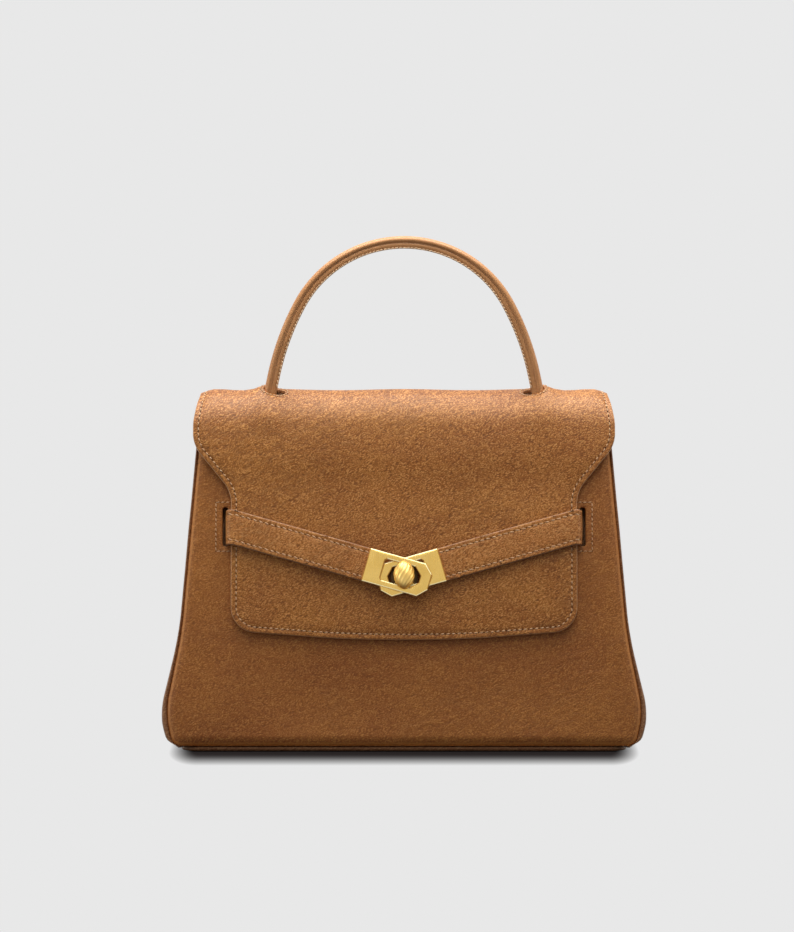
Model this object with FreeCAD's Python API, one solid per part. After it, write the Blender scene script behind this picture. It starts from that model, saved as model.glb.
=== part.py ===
"""Top handle bag with a fold-over flap, two lock straps and a turn lock.

Millimetres. X runs across the front, Y from front to back, Z up. The origin is the centre of the
face that the bag stands on.

The front pieces are made upright, with their offset from the front panel's outer face along -Y and
their height along Z, and are then leaned back onto the panel.
"""
import FreeCAD, Part
import math
import os

V = FreeCAD.Vector
ORIGIN = V(0, 0, 0)
X_AXIS = V(1, 0, 0)
Z_AXIS = V(0, 0, 1)
OUTWARD = V(0, -1, 0)

# Body: two leaning panels on a flat base
base_depth = 112.0
top_depth = 40.0
panel_rise = 193.0
panel_thickness = 2.0
foot_half_width = 142.5
foot_radius = 9.0
flare_half_width = 130.3
flare_height = 69.0
flare_radius = 200.0
top_half_width = 118.6
panel_top_radius = 5.0

# Base
base_thickness = 3.2
base_end_setback = 8.5
base_edge_setback = 1.2
base_corner_radius = 12.0
base_edge_round = 1.5
board_thickness = 2.5
board_setback = 4.5
board_end_setback = 8.0
base_lining_thickness = 0.8
base_lining_setback = 9.0

# Side walls, which bulge out of the panels' side edges and fold in at the mouth
gusset_thickness = 1.6
gusset_bulge = 5.0
gusset_lap = 0.8
gusset_edge_gap = 0.3
gusset_top_gap = 3.0
gusset_level_shares = (0.0, 0.03, 0.09, 0.2, 0.34, 0.55, 0.78, 1.0)
gusset_roll_shares = (0.35, 0.7, 0.85, 0.9, 0.85, 0.8, 0.6, 0.3)
gusset_fold_shares = (0.4, 0.8, 1.05, 1.0, 0.75, 0.4, -0.3, -1.2)
gusset_depth_shares = (0.0, 0.14, 0.5, 0.86, 1.0)

# Linings
lining_thickness = 0.7
lining_inset = 4.0
lining_foot_gap = 0.3
front_lining_gap = 3.7
back_lining_gap = 0.3
gusset_lining_gap = 0.3
mouth_band_height = 8.0

# Flap: one leather sheet over the mouth and down the front
flap_gap = 0.4
flap_lining_thickness = 0.8
flap_thickness = 2.2
flap_lining_inset = 1.5
fold_rise = 0.6
flap_overhang = 7.4
roof_taper = 5.0
roof_corner_radius = 20.0
shoulder_drop = 12.8
neck_drop = 40.8
shoulder_radius = 18.0
tongue_setback = 22.8
tongue_corner_drop = 124.3
tongue_corner_radius = 15.0
tongue_bow_drop = 7.8
tongue_bow_radius = 700.0
flap_tail_length = 42.0
flap_tail_setback = 1.5
flap_tail_radius = 12.0
hinge_gap = 0.2

# Roof board that carries the handle
roof_board_thickness = 1.6
roof_board_end_setback = 14.0
roof_board_half_angle = 48.0
roof_seat = 0.05

# Handle: a rolled leather tube over a cord core, its legs through the roof
handle_radius = 3.75
handle_wall = 1.1
handle_core_play = 0.1
handle_forward = 6.0
handle_rise = 91.7
crown_radius = 71.0
crown_half_angle = 62.0
side_radius = 160.0
side_angle = 16.0
leg_seat_rise = 8.7
leg_hole_play = 0.45
collar_wall = 2.5
collar_play = 0.1
pin_radius = 0.9
pin_play = 0.05
pin_setback = 3.4

# Strap slots in the front panel
slot_setback = 12.1
slot_drop = 61.6
slot_width = 4.9
slot_length = 25.0
patch_thickness = 1.2
patch_margin = 6.0
patch_radius = 4.0

# Lock straps
strap_half_width = 10.2
strap_thickness = 2.0
strap_flap_gap = 1.2
strap_root_setback = 1.3
strap_root_rise = 1.6
strap_knee_run = 1.2
strap_end_gap = 1.0
strap_end_radius = 2.0
strap_lift = 1.0
tail_play = 0.3
tail_length = 28.0

# Strap plates, one lying over the other round the knob
plate_thickness = 1.3
plate_half_width = 10.2
plate_outer_end = 23.8
plate_tip = 16.0
plate_tip_chamfer = 5.4
plate_end_chamfer = 1.5
plate_edge_bevel = 0.35
window_half_length = 10.45
window_half_width = 6.55
window_tip_chamfer = 4.5
window_end_chamfer = 1.2
window_setback = 1.0
plate_face_thickness = 0.5
back_plate_thickness = 0.6
back_plate_margin = 0.6
plate_rivet_radius = 0.9
plate_rivet_head_radius = 1.5
plate_rivet_head = 0.35
plate_rivet_reach = 5.2
rivet_play = 0.05

# Turn lock on the front panel
lock_drop = 91.7
lock_flange_radius = 8.0
lock_flange_thickness = 1.4
lock_boss_radius = 5.3
lock_rivet_radius = 0.85
lock_rivet_head_radius = 1.25
lock_rivet_head = 0.5
lock_rivet_reach = 6.7
lock_rivet_count = 4
lock_rivet_turn = 45.0
lock_back_radius = 11.0
lock_back_thickness = 1.2
shaft_radius = 2.5
shaft_play = 0.08
shaft_hole_play = 0.4
plate_gap = 0.3
knob_gap = 0.2
knob_half_length = 8.65
knob_half_width = 6.1
knob_rise = 5.6
knob_dome = 2.6
knob_tip_radius = 1.0
spring_washer_radius = 5.0
spring_washer_cup = 0.35
spring_washer_thickness = 0.25
knob_washer_radius = 5.5
knob_washer_thickness = 0.8
shaft_head_radius = 3.2
shaft_head = 0.45
washer_gap = 0.15
washer_play = 0.05

# Bound hole in the flap that the knob passes
eyelet_half_width = 9.5
eyelet_above = 9.3
eyelet_below = 13.4
eyelet_wall = 1.1
eyelet_flange = 0.9
eyelet_flange_thickness = 0.5
eyelet_play = 0.1

# Cuts run this far past what they cut
overrun = 5.0

# Values worked out from the sizes above
lean = math.degrees(math.atan2((base_depth - top_depth) / 2, panel_rise))
lean_sin = math.sin(math.radians(lean))
lean_cos = math.cos(math.radians(lean))
panel_top = panel_rise / lean_cos
panel_foot = (base_thickness + panel_thickness * lean_sin) / lean_cos
base_half_length = foot_half_width - base_end_setback
floor_top = base_thickness + board_thickness + base_lining_thickness
flap_half_width = top_half_width + flap_overhang
tongue_half_width = flap_half_width - tongue_setback
shoulder_height = panel_top - shoulder_drop
neck_height = panel_top - neck_drop
tongue_corner_height = panel_top - tongue_corner_drop
tongue_point_height = tongue_corner_height - tongue_bow_drop
slot_x = top_half_width - slot_setback
slot_height = panel_top - slot_drop
strap_root_x = slot_x - strap_root_setback
lock_height = panel_top - lock_drop
flap_middle = flap_gap + flap_lining_thickness
flap_outer = flap_middle + flap_thickness
fold_height = panel_top + fold_rise
fold_reach = (base_depth / 2 - fold_height * lean_sin) / lean_cos
fold_centre = V(0, 0, fold_height * lean_cos - fold_reach * lean_sin)
roof_height = fold_centre.z + fold_reach + flap_outer
crown_centre_height = roof_height + handle_rise - handle_radius - crown_radius
leg_end_height = fold_centre.z + leg_seat_rise
strap_low = flap_outer + strap_flap_gap
strap_high = strap_low + strap_thickness
strap_radius = strap_thickness / 2
strap_slope = math.degrees(math.atan2(slot_height - lock_height, strap_root_x))
strap_run = math.hypot(slot_height - lock_height, strap_root_x)
strap_end = plate_tip + strap_end_gap
plate_high = strap_high + plate_thickness
lifted_plate_high = plate_high + (strap_run + plate_tip) * math.sin(math.radians(strap_lift))
boss_top = lifted_plate_high + plate_gap
knob_low = boss_top + knob_gap
front_lining_outer = -panel_thickness - front_lining_gap
patch_inner = -panel_thickness - patch_thickness
tail_outer = patch_inner - tail_play
tail_inner = tail_outer - strap_thickness
lock_back_inner = -panel_thickness - lock_back_thickness
spring_washer_top = lock_back_inner - washer_gap
knob_washer_top = spring_washer_top - spring_washer_cup - spring_washer_thickness
shaft_head_top = knob_washer_top - knob_washer_thickness
leg_slope = math.radians(crown_half_angle + side_angle)
leg_direction = V(math.cos(leg_slope), 0, -math.sin(leg_slope))

PARTS = {}


def on_front(shape):
    """Lean an upright shape back onto the front panel's plane."""
    placed = shape.copy()
    placed.rotate(ORIGIN, X_AXIS, -lean)
    placed.translate(OUTWARD * (base_depth / 2))
    return placed


def on_back(shape):
    """Lean an upright shape onto the back panel's plane."""
    placed = on_front(shape)
    placed.rotate(ORIGIN, Z_AXIS, 180)
    return placed


def other_side(shape):
    """Mirror a shape to the other side of the bag."""
    return shape.mirror(ORIGIN, X_AXIS)


def side_point(height, offset):
    """Side-view point at a height up the front panel and an offset from its outer face."""
    y = height * lean_sin - offset * lean_cos - base_depth / 2
    return V(0, y, height * lean_cos + offset * lean_sin)


def at_back(point):
    """The same side-view point at the back of the bag."""
    return V(point.x, -point.y, point.z)


def elevation(point):
    """Put a flat point in the upright front view."""
    return V(point.x, 0, point.y)


def plan(point):
    """Leave a flat point in the view from above."""
    return V(point.x, point.y, 0)


def rounded_face(corners, plane):
    """Face inside straight runs whose corners, as (a, b, radius), are rounded by arcs."""
    count = len(corners)
    points = [V(a, b, 0) for a, b, radius in corners]
    bends = []
    for index, (a, b, radius) in enumerate(corners):
        here = points[index]
        to_last = (points[index - 1] - here).normalize()
        to_next = (points[(index + 1) % count] - here).normalize()
        half_angle = to_last.getAngle(to_next) / 2
        reach = radius / math.tan(half_angle)
        inward = (to_last + to_next).normalize()
        middle = here + inward * (radius / math.sin(half_angle) - radius)
        bends.append((here + to_last * reach, middle, here + to_next * reach))
    edges = []
    for index, bend in enumerate(bends):
        if corners[index][2] > 0:
            edges.append(Part.Arc(*[plane(point) for point in bend]).toShape())
        following = bends[(index + 1) % count][0]
        edges.append(Part.makeLine(plane(bend[2]), plane(following)))
    return Part.Face(Part.Wire(edges))


def slot_face(first, second, radius, plane):
    """Face of a slot with round ends about two flat points."""
    along = (second - first).normalize() * radius
    across = V(-along.y, along.x, 0)
    far_end = [second + across, second + along, second - across]
    near_end = [first - across, first - along, first + across]
    edges = []
    for end, other in ((far_end, near_end), (near_end, far_end)):
        edges.append(Part.Arc(*[plane(point) for point in end]).toShape())
        edges.append(Part.makeLine(plane(end[2]), plane(other[0])))
    return Part.Face(Part.Wire(edges))


def both_sides(half):
    """Corners of a symmetric outline from those of its right half, listed from top to bottom."""
    mirrored = [(-a, b, radius) for a, b, radius in reversed(half) if a > 0]
    return half + mirrored


def prism(face, low, high):
    """Upright plate with a front-view face, between two offsets from the panel's outer face."""
    plate = face.copy()
    plate.translate(OUTWARD * low)
    return plate.extrude(OUTWARD * (high - low))


def rod(x, height, radius, low, high):
    """Upright round bar through the front between two offsets."""
    return Part.makeCylinder(radius, high - low, V(x, -low, height), OUTWARD)


def fused(shapes):
    """One clean solid of touching shapes."""
    return shapes[0].multiFuse(shapes[1:]).removeSplitter()


def keep(name, shape):
    """File a finished piece under its name."""
    PARTS[name] = shape


def panel_outline(inset, foot):
    """Outline of a front or back panel, drawn in by an inset, from a foot height up."""
    return both_sides([
        (top_half_width - inset, panel_top, panel_top_radius),
        (flare_half_width - inset, flare_height, flare_radius),
        (foot_half_width - inset, foot, foot_radius),
    ])


def panel_half_width(height):
    """Half width of a panel at a height, with the round corner at its foot."""
    flare_run = V(flare_half_width - foot_half_width, flare_height - panel_foot, 0)
    half_angle = flare_run.getAngle(-X_AXIS) / 2
    corner = V(foot_half_width - foot_radius / math.tan(half_angle), panel_foot + foot_radius, 0)
    if height < corner.y:
        below = min(corner.y - height, foot_radius)
        return corner.x + math.sqrt(foot_radius ** 2 - below ** 2)
    if height < flare_height:
        return foot_half_width + flare_run.x * (height - panel_foot) / flare_run.y
    taper = (top_half_width - flare_half_width) / (panel_top - flare_height)
    return flare_half_width + taper * (height - flare_height)


def slot_cutter():
    """Bar that cuts the right strap slot."""
    half_run = V(0, slot_length / 2 - slot_width / 2, 0)
    centre = V(slot_x, slot_height, 0)
    face = slot_face(centre - half_run, centre + half_run, slot_width / 2, elevation)
    return prism(face, patch_inner - overrun, overrun)


def lock_rivet_places():
    """Centres of the rivets round the lock, in the upright front view."""
    places = []
    for index in range(lock_rivet_count):
        angle = math.radians(lock_rivet_turn + 360 * index / lock_rivet_count)
        places.append((lock_rivet_reach * math.cos(angle), lock_height + lock_rivet_reach * math.sin(angle)))
    return places


def make_panels():
    """Front panel with its strap slots and lock holes, and the plain back panel."""
    face = rounded_face(panel_outline(0, panel_foot), elevation)
    sheet = prism(face, -panel_thickness, 0)
    holes = [slot_cutter(), other_side(slot_cutter())]
    holes.append(rod(0, lock_height, shaft_radius + shaft_hole_play, -panel_thickness - overrun, overrun))
    for x, height in lock_rivet_places():
        holes.append(rod(x, height, lock_rivet_radius + rivet_play, -panel_thickness - overrun, overrun))
    keep("front_panel", on_front(sheet.cut(holes)))
    keep("back_panel", on_back(sheet))


def base_sheet(half_length, half_depth, low, thickness):
    """Flat sheet with round corners in the bottom of the bag."""
    corner = base_corner_radius
    face = rounded_face([
        (half_length, half_depth, corner),
        (half_length, -half_depth, corner),
        (-half_length, -half_depth, corner),
        (-half_length, half_depth, corner),
    ], plan)
    face.translate(Z_AXIS * low)
    return face.extrude(Z_AXIS * thickness)


def make_base():
    """Leather base, the board that keeps it flat and the lining on the board."""
    leather = base_sheet(base_half_length, base_depth / 2 - base_edge_setback, 0, base_thickness)
    lower_rim = [edge for edge in leather.Edges if edge.BoundBox.ZMax < base_thickness / 2]
    keep("base_panel", leather.makeFillet(base_edge_round, lower_rim))
    half_length = base_half_length - board_end_setback
    board_depth = base_depth / 2 - board_setback
    keep("base_board", base_sheet(half_length, board_depth, base_thickness, board_thickness))
    lining_low = base_thickness + board_thickness
    lining_depth = base_depth / 2 - base_lining_setback
    keep("base_lining", base_sheet(half_length, lining_depth, lining_low, base_lining_thickness))


def wall_y(z, offset):
    """Depth of the front wall at a height above the floor and an offset from its outer face."""
    return (z * lean_sin - offset) / lean_cos - base_depth / 2


def gusset_strip(inset, thickness):
    """Right side wall lofted up the panels' edges, rolled out at both seams and folded in at the mouth."""
    rise = panel_rise - gusset_top_gap - base_thickness
    wires = []
    for level, roll, fold in zip(gusset_level_shares, gusset_roll_shares, gusset_fold_shares):
        z = base_thickness + level * rise
        x = panel_half_width(z / lean_cos) - gusset_lap - inset
        front = wall_y(z, -panel_thickness - gusset_edge_gap)
        outer = []
        for depth, bulge in zip(gusset_depth_shares, (0, roll, fold, roll, 0)):
            outer.append(V(x + bulge * gusset_bulge, front - depth * front * 2, z))
        inner = [point - X_AXIS * thickness for point in reversed(outer)]
        edges = []
        for run, following in ((outer, inner), (inner, outer)):
            curve = Part.BSplineCurve()
            curve.interpolate(run)
            edges.append(curve.toShape())
            edges.append(Part.makeLine(run[-1], following[0]))
        wires.append(Part.Wire(edges))
    return Part.makeLoft(wires, True, True)


def make_gussets():
    """Leather side walls and their linings, which stop at the front and back linings and the floor."""
    wall = gusset_strip(0, gusset_thickness)
    front = front_lining_outer - lining_thickness - gusset_edge_gap
    back = -panel_thickness - back_lining_gap - lining_thickness - gusset_edge_gap
    beyond = rounded_face(panel_outline(-gusset_bulge * 2, -overrun), elevation)
    floor = Part.makeBox(foot_half_width * 2, base_depth, floor_top, V(0, -base_depth / 2, 0))
    rest = [on_front(prism(beyond, front, overrun)), on_back(prism(beyond, back, overrun)), floor]
    lining = gusset_strip(gusset_thickness + gusset_lining_gap, lining_thickness).cut(rest)
    keep("right_gusset", wall)
    keep("left_gusset", other_side(wall))
    keep("right_gusset_lining", lining)
    keep("left_gusset_lining", other_side(lining))


def make_linings():
    """Front and back linings, and the band that closes the front's top edge."""
    foot_rise = (lining_thickness - front_lining_outer) * lean_sin
    foot = (floor_top + lining_foot_gap + foot_rise) / lean_cos
    face = rounded_face(panel_outline(lining_inset, foot), elevation)
    keep("front_lining", on_front(prism(face, front_lining_outer - lining_thickness, front_lining_outer)))
    back_outer = -panel_thickness - back_lining_gap
    keep("back_lining", on_back(prism(face, back_outer - lining_thickness, back_outer)))
    band_half = top_half_width - lining_inset
    band_foot = panel_top - mouth_band_height
    band = rounded_face(both_sides([(band_half, panel_top, 0), (band_half, band_foot, 0)]), elevation)
    keep("front_mouth_band", on_front(prism(band, front_lining_outer, -panel_thickness)))


def flap_outline(inset):
    """Front view of the flap: a roof that narrows upwards, sloping shoulders and a round-cornered tongue."""
    top = fold_height + fold_reach + flap_outer + overrun
    return both_sides([
        (flap_half_width - roof_taper - inset, top, 0),
        (flap_half_width - inset, fold_height, roof_corner_radius),
        (flap_half_width - inset, shoulder_height, shoulder_radius),
        (tongue_half_width - inset, neck_height, shoulder_radius),
        (tongue_half_width - inset, tongue_corner_height + inset, tongue_corner_radius),
        (0, tongue_point_height + inset, tongue_bow_radius),
    ])


def flap_layer(low, high, inset):
    """One layer of the flap between two offsets, from its point over the fold to the hinge line."""
    bottom = tongue_point_height - overrun
    crest_high = fold_centre + Z_AXIS * (fold_reach + high)
    crest_low = fold_centre + Z_AXIS * (fold_reach + low)
    fold_high = side_point(fold_height, high)
    fold_low = side_point(fold_height, low)
    side_view = Part.Face(Part.Wire([
        Part.makeLine(side_point(bottom, high), fold_high),
        Part.Arc(fold_high, crest_high, at_back(fold_high)).toShape(),
        Part.makeLine(at_back(fold_high), at_back(fold_low)),
        Part.Arc(at_back(fold_low), crest_low, fold_low).toShape(),
        Part.makeLine(fold_low, side_point(bottom, low)),
        Part.makeLine(side_point(bottom, low), side_point(bottom, high)),
    ]))
    side_view.translate(-X_AXIS * flap_half_width)
    sheet = side_view.extrude(X_AXIS * flap_half_width * 2)
    depth = (fold_reach + flap_outer) * 2 + overrun
    outline = rounded_face(flap_outline(inset), elevation)
    return sheet.common(on_front(prism(outline, -depth, flap_outer + overrun)))


def eyelet_face(growth):
    """Front view of the flap's hole, grown by an amount all round."""
    upper = V(0, lock_height + eyelet_above - eyelet_half_width, 0)
    lower = V(0, lock_height - eyelet_below + eyelet_half_width, 0)
    return slot_face(lower, upper, eyelet_half_width + growth, elevation)


def handle_points():
    """Ends of the handle's right-hand bends and of its leg, from the crown down."""
    crown = V(0, -handle_forward, crown_centre_height)
    turn = math.radians(crown_half_angle)
    outward = V(math.sin(turn), 0, math.cos(turn))
    crown_end = crown + outward * crown_radius
    side_centre = crown_end - outward * side_radius
    side_mid_turn = turn + math.radians(side_angle) / 2
    side_middle = side_centre + V(math.sin(side_mid_turn), 0, math.cos(side_mid_turn)) * side_radius
    side_end = side_centre + V(math.sin(leg_slope), 0, math.cos(leg_slope)) * side_radius
    leg_end = side_end + leg_direction * ((side_end.z - leg_end_height) / -leg_direction.z)
    return crown + Z_AXIS * crown_radius, crown_end, side_middle, side_end, leg_end


def leg_bar(radius, run):
    """Round bar up the right leg's line from its end."""
    leg_end = handle_points()[-1]
    return Part.makeCylinder(radius, run, leg_end, -leg_direction)


def both_legs(shape):
    """A right-hand leg piece and its mirror image."""
    return [shape, other_side(shape)]


def handle_pipe(radius):
    """Round bar along the whole handle."""
    crown, crown_end, side_middle, side_end, leg_end = handle_points()
    flip = [V(-point.x, point.y, point.z) for point in (crown_end, side_middle, side_end, leg_end)]
    path = Part.Wire([
        Part.makeLine(leg_end, side_end),
        Part.Arc(side_end, side_middle, crown_end).toShape(),
        Part.Arc(crown_end, crown, flip[0]).toShape(),
        Part.Arc(flip[0], flip[1], flip[2]).toShape(),
        Part.makeLine(flip[2], flip[3]),
    ])
    ring = Part.Wire(Part.makeCircle(radius, leg_end, leg_direction))
    return path.makePipeShell([ring], True, False)


def make_handle():
    """Handle tube and core, the collars under the roof and the pins that hold the legs in them."""
    leg_end = handle_points()[-1]
    collar_radius = handle_radius + collar_play + collar_wall
    pin_centre = leg_end - leg_direction * pin_setback
    half_pin = OUTWARD * collar_radius
    pin = Part.makeCylinder(pin_radius, collar_radius * 2, pin_centre - half_pin, OUTWARD)
    hole_start = pin_centre - half_pin - OUTWARD * overrun
    hole = Part.makeCylinder(pin_radius + pin_play, (collar_radius + overrun) * 2, hole_start, OUTWARD)
    bore = handle_radius - handle_wall
    keep("handle_cover", handle_pipe(handle_radius).cut([handle_pipe(bore)] + both_legs(hole)))
    keep("handle_core", handle_pipe(bore - handle_core_play).cut(both_legs(hole)))
    under_roof = fold_reach + flap_gap - roof_board_thickness - roof_seat * 2
    half_length = flap_half_width
    room = Part.makeCylinder(under_roof, half_length * 2, fold_centre - X_AXIS * half_length, X_AXIS)
    reach = fold_reach * 2
    collar = leg_bar(collar_radius, reach).cut(leg_bar(handle_radius + collar_play, reach))
    collar = collar.common(room).cut(hole)
    keep("handle_collars", Part.makeCompound(both_legs(collar)))
    keep("handle_pins", Part.makeCompound(both_legs(pin)))


def make_roof_board(leg_holes):
    """Curved board under the roof."""
    outer = fold_reach + flap_gap - roof_seat
    inner = outer - roof_board_thickness
    turn = math.radians(roof_board_half_angle)
    spread = V(0, math.sin(turn), math.cos(turn))
    ends = {radius: fold_centre + spread * radius for radius in (outer, inner)}
    front_end = Part.makeLine(at_back(ends[outer]), at_back(ends[inner]))
    edges = [Part.makeLine(ends[outer], ends[inner]), front_end]
    for radius in (outer, inner):
        crest = fold_centre + Z_AXIS * radius
        edges.append(Part.Arc(ends[radius], crest, at_back(ends[radius])).toShape())
    half_length = flap_half_width - roof_board_end_setback
    section = Part.Face(Part.Wire(Part.__sortEdges__(edges)))
    section.translate(-X_AXIS * half_length)
    keep("roof_board", section.extrude(X_AXIS * half_length * 2).cut(leg_holes))


def make_flap():
    """Flap leather and lining, the eyelet in it, the roof board and the tail sewn to the back."""
    leg_holes = both_legs(leg_bar(handle_radius + leg_hole_play, fold_reach * 2))
    knob_hole = on_front(prism(eyelet_face(eyelet_wall + eyelet_play), -overrun, flap_outer + overrun))
    cuts = leg_holes + [knob_hole]
    keep("flap_leather", flap_layer(flap_middle, flap_outer, 0).cut(cuts))
    keep("flap_lining", flap_layer(flap_gap, flap_middle, flap_lining_inset).cut(cuts))
    tube = prism(eyelet_face(eyelet_wall), flap_gap, flap_outer)
    flange_high = flap_outer + eyelet_flange_thickness
    flange = prism(eyelet_face(eyelet_wall + eyelet_flange), flap_outer, flange_high)
    opening = prism(eyelet_face(0), -overrun, flange_high + overrun)
    keep("flap_eyelet", on_front(fused([tube, flange]).cut(opening)))
    make_roof_board(leg_holes)
    tail_top = fold_height - hinge_gap
    tail = rounded_face(both_sides([
        (flap_half_width - flap_tail_setback, tail_top, 0),
        (flap_half_width - flap_tail_setback, fold_height - flap_tail_length, flap_tail_radius),
    ]), elevation)
    keep("flap_tail", on_back(prism(tail, flap_gap, flap_outer)))


def make_lock():
    """Lock base with its boss, the plate behind the panel and the rivets that join them."""
    bore = rod(0, lock_height, shaft_radius + shaft_play, lock_back_inner - overrun, boss_top + overrun)
    flange = rod(0, lock_height, lock_flange_radius, 0, lock_flange_thickness)
    boss = rod(0, lock_height, lock_boss_radius, 0, boss_top)
    plate = rod(0, lock_height, lock_back_radius, lock_back_inner, -panel_thickness)
    rivets = []
    holes = [bore]
    for x, height in lock_rivet_places():
        holes.append(rod(x, height, lock_rivet_radius + rivet_play, lock_back_inner - overrun, overrun))
        shank = rod(x, height, lock_rivet_radius, lock_back_inner, lock_flange_thickness)
        head_high = lock_flange_thickness + lock_rivet_head
        head = rod(x, height, lock_rivet_head_radius, lock_flange_thickness, head_high)
        tail = rod(x, height, lock_rivet_head_radius, lock_back_inner - lock_rivet_head, lock_back_inner)
        rivets.append(on_front(fused([shank, head, tail])))
    keep("lock_base", on_front(fused([flange, boss]).cut(holes)))
    keep("lock_back_plate", on_front(plate.cut(holes)))
    keep("lock_rivets", Part.makeCompound(rivets))


def almond_face():
    """Front view of the knob: two side arcs that meet in round tips."""
    side_bow = (knob_half_length ** 2 + knob_half_width ** 2) / (2 * knob_half_width)
    side_centre = side_bow - knob_half_width
    tip_centre = math.sqrt((side_bow - knob_tip_radius) ** 2 - side_centre ** 2)
    joint_share = knob_tip_radius / (side_bow - knob_tip_radius)
    joint = V(side_centre * joint_share, tip_centre * (1 + joint_share), 0)
    side = V(knob_half_width, 0, 0)
    tip = V(0, tip_centre + knob_tip_radius, 0)
    flip = V(-joint.x, joint.y, 0)
    edges = []
    for run in ((joint, side, -flip), (-flip, -tip, -joint), (-joint, -side, flip), (flip, tip, joint)):
        edges.append(Part.Arc(*[elevation(point) for point in run]).toShape())
    face = Part.Face(Part.Wire(edges))
    face.translate(Z_AXIS * lock_height)
    return face


def make_knob():
    """Almond knob set crosswise to the straps, its shaft, and the washers that keep it in."""
    head = prism(almond_face(), knob_low, knob_low + knob_rise)
    dome_radius = (knob_half_length ** 2 + knob_dome ** 2) / (2 * knob_dome)
    dome_end = V(-knob_half_length, dome_radius - knob_low - knob_rise, lock_height)
    head = head.common(Part.makeCylinder(dome_radius, knob_half_length * 2, dome_end, X_AXIS))
    keep("knob_head", on_front(head))
    stem = rod(0, lock_height, shaft_radius, shaft_head_top, knob_low)
    stem_head = rod(0, lock_height, shaft_head_radius, shaft_head_top - shaft_head, shaft_head_top)
    keep("knob_shaft", on_front(fused([stem, stem_head])))
    bore = rod(0, lock_height, shaft_radius + washer_play, shaft_head_top - overrun, overrun)
    washer = rod(0, lock_height, knob_washer_radius, shaft_head_top, knob_washer_top)
    keep("knob_washer", on_front(washer.cut(bore)))
    cup_low = V(0, -(knob_washer_top + spring_washer_thickness), lock_height)
    cup = Part.makeCone(shaft_radius, spring_washer_radius, spring_washer_cup, cup_low, OUTWARD)
    lower = cup.copy()
    lower.translate(-OUTWARD * spring_washer_thickness)
    ring = rod(0, lock_height, spring_washer_radius, knob_washer_top, spring_washer_top)
    keep("knob_spring_washer", on_front(ring.cut([bore]).common(lower.multiFuse([cup])).cut(cup)))


def strap_frame(shape):
    """Turn a piece drawn along X from the knob to the slot onto the right strap's slope."""
    placed = shape.copy()
    placed.rotate(ORIGIN, OUTWARD, strap_slope)
    placed.translate(Z_AXIS * lock_height)
    return placed


def strap_pieces():
    """The right strap, its plate, the plate's backing and the rivets, upright and lying flat."""
    knee = V(strap_root_x - strap_knee_run, -strap_low - strap_radius, 0)
    root = V(strap_root_x, -strap_root_rise, 0)
    start = V(0, knee.y, 0)
    rise = lock_height + slot_height
    level = slot_face(start, knee, strap_radius, plan).extrude(Z_AXIS * rise)
    slant = slot_face(knee, root, strap_radius, plan).extrude(Z_AXIS * rise)
    band = rounded_face([
        (strap_end, strap_half_width, strap_end_radius),
        (strap_end, -strap_half_width, strap_end_radius),
        (strap_run + strap_half_width, -strap_half_width, 0),
        (strap_run + strap_half_width, strap_half_width, 0),
    ], elevation)
    outline = strap_frame(prism(band, -overrun, strap_high + overrun))
    leather = fused([level, slant]).common(outline)

    plate_face = rounded_face([
        (plate_outer_end - plate_end_chamfer, plate_half_width, 0),
        (plate_outer_end, plate_half_width - plate_end_chamfer, 0),
        (plate_outer_end, plate_end_chamfer - plate_half_width, 0),
        (plate_outer_end - plate_end_chamfer, -plate_half_width, 0),
        (plate_tip_chamfer - plate_tip, -plate_half_width, 0),
        (-plate_tip, plate_tip_chamfer - plate_half_width, 0),
        (-plate_tip, plate_half_width - plate_tip_chamfer, 0),
        (plate_tip_chamfer - plate_tip, plate_half_width, 0),
    ], elevation)
    window_face = rounded_face([
        (window_half_length - window_end_chamfer, window_half_width, 0),
        (window_half_length, window_half_width - window_end_chamfer, 0),
        (window_half_length, window_end_chamfer - window_half_width, 0),
        (window_half_length - window_end_chamfer, -window_half_width, 0),
        (window_tip_chamfer - window_half_length, -window_half_width, 0),
        (-window_half_length, window_tip_chamfer - window_half_width, 0),
        (-window_half_length, window_half_width - window_tip_chamfer, 0),
        (window_tip_chamfer - window_half_length, window_half_width, 0),
    ], elevation)
    window_face.translate(X_AXIS * window_setback)
    plate = prism(plate_face, strap_high, plate_high)
    top_rim = [edge for edge in plate.Edges if edge.BoundBox.YMax < -plate_high + plate_edge_bevel]
    plate = plate.makeChamfer(plate_edge_bevel, top_rim)
    window = prism(window_face, strap_high - overrun, plate_high + overrun)

    backing_low = strap_low - back_plate_thickness
    backing_half = plate_half_width - back_plate_margin
    backing_end = plate_outer_end - back_plate_margin
    backing_face = rounded_face([
        (backing_end, backing_half, plate_end_chamfer),
        (backing_end, -backing_half, plate_end_chamfer),
        (strap_end + back_plate_margin, -backing_half, plate_end_chamfer),
        (strap_end + back_plate_margin, backing_half, plate_end_chamfer),
    ], elevation)
    backing = prism(backing_face, backing_low, strap_low)
    rivet_x = (strap_end + plate_outer_end) / 2
    holes = []
    rivets = []
    for sign in (1, -1):
        place = sign * plate_rivet_reach
        hole_radius = plate_rivet_radius + rivet_play
        hole_end = plate_high - plate_face_thickness
        holes.append(rod(rivet_x, place, hole_radius, backing_low - overrun, hole_end))
        shank = rod(rivet_x, place, plate_rivet_radius, backing_low, hole_end)
        head = rod(rivet_x, place, plate_rivet_head_radius, backing_low - plate_rivet_head, backing_low)
        rivets.append(fused([shank, head]))
    sloped_holes = [strap_frame(hole) for hole in holes]
    return {
        "strap": leather.cut(sloped_holes),
        "plate": strap_frame(plate.cut([window] + holes)),
        "plate_back": strap_frame(backing.cut(holes)),
        "plate_rivets": Part.makeCompound([strap_frame(rivet) for rivet in rivets]),
    }


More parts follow.
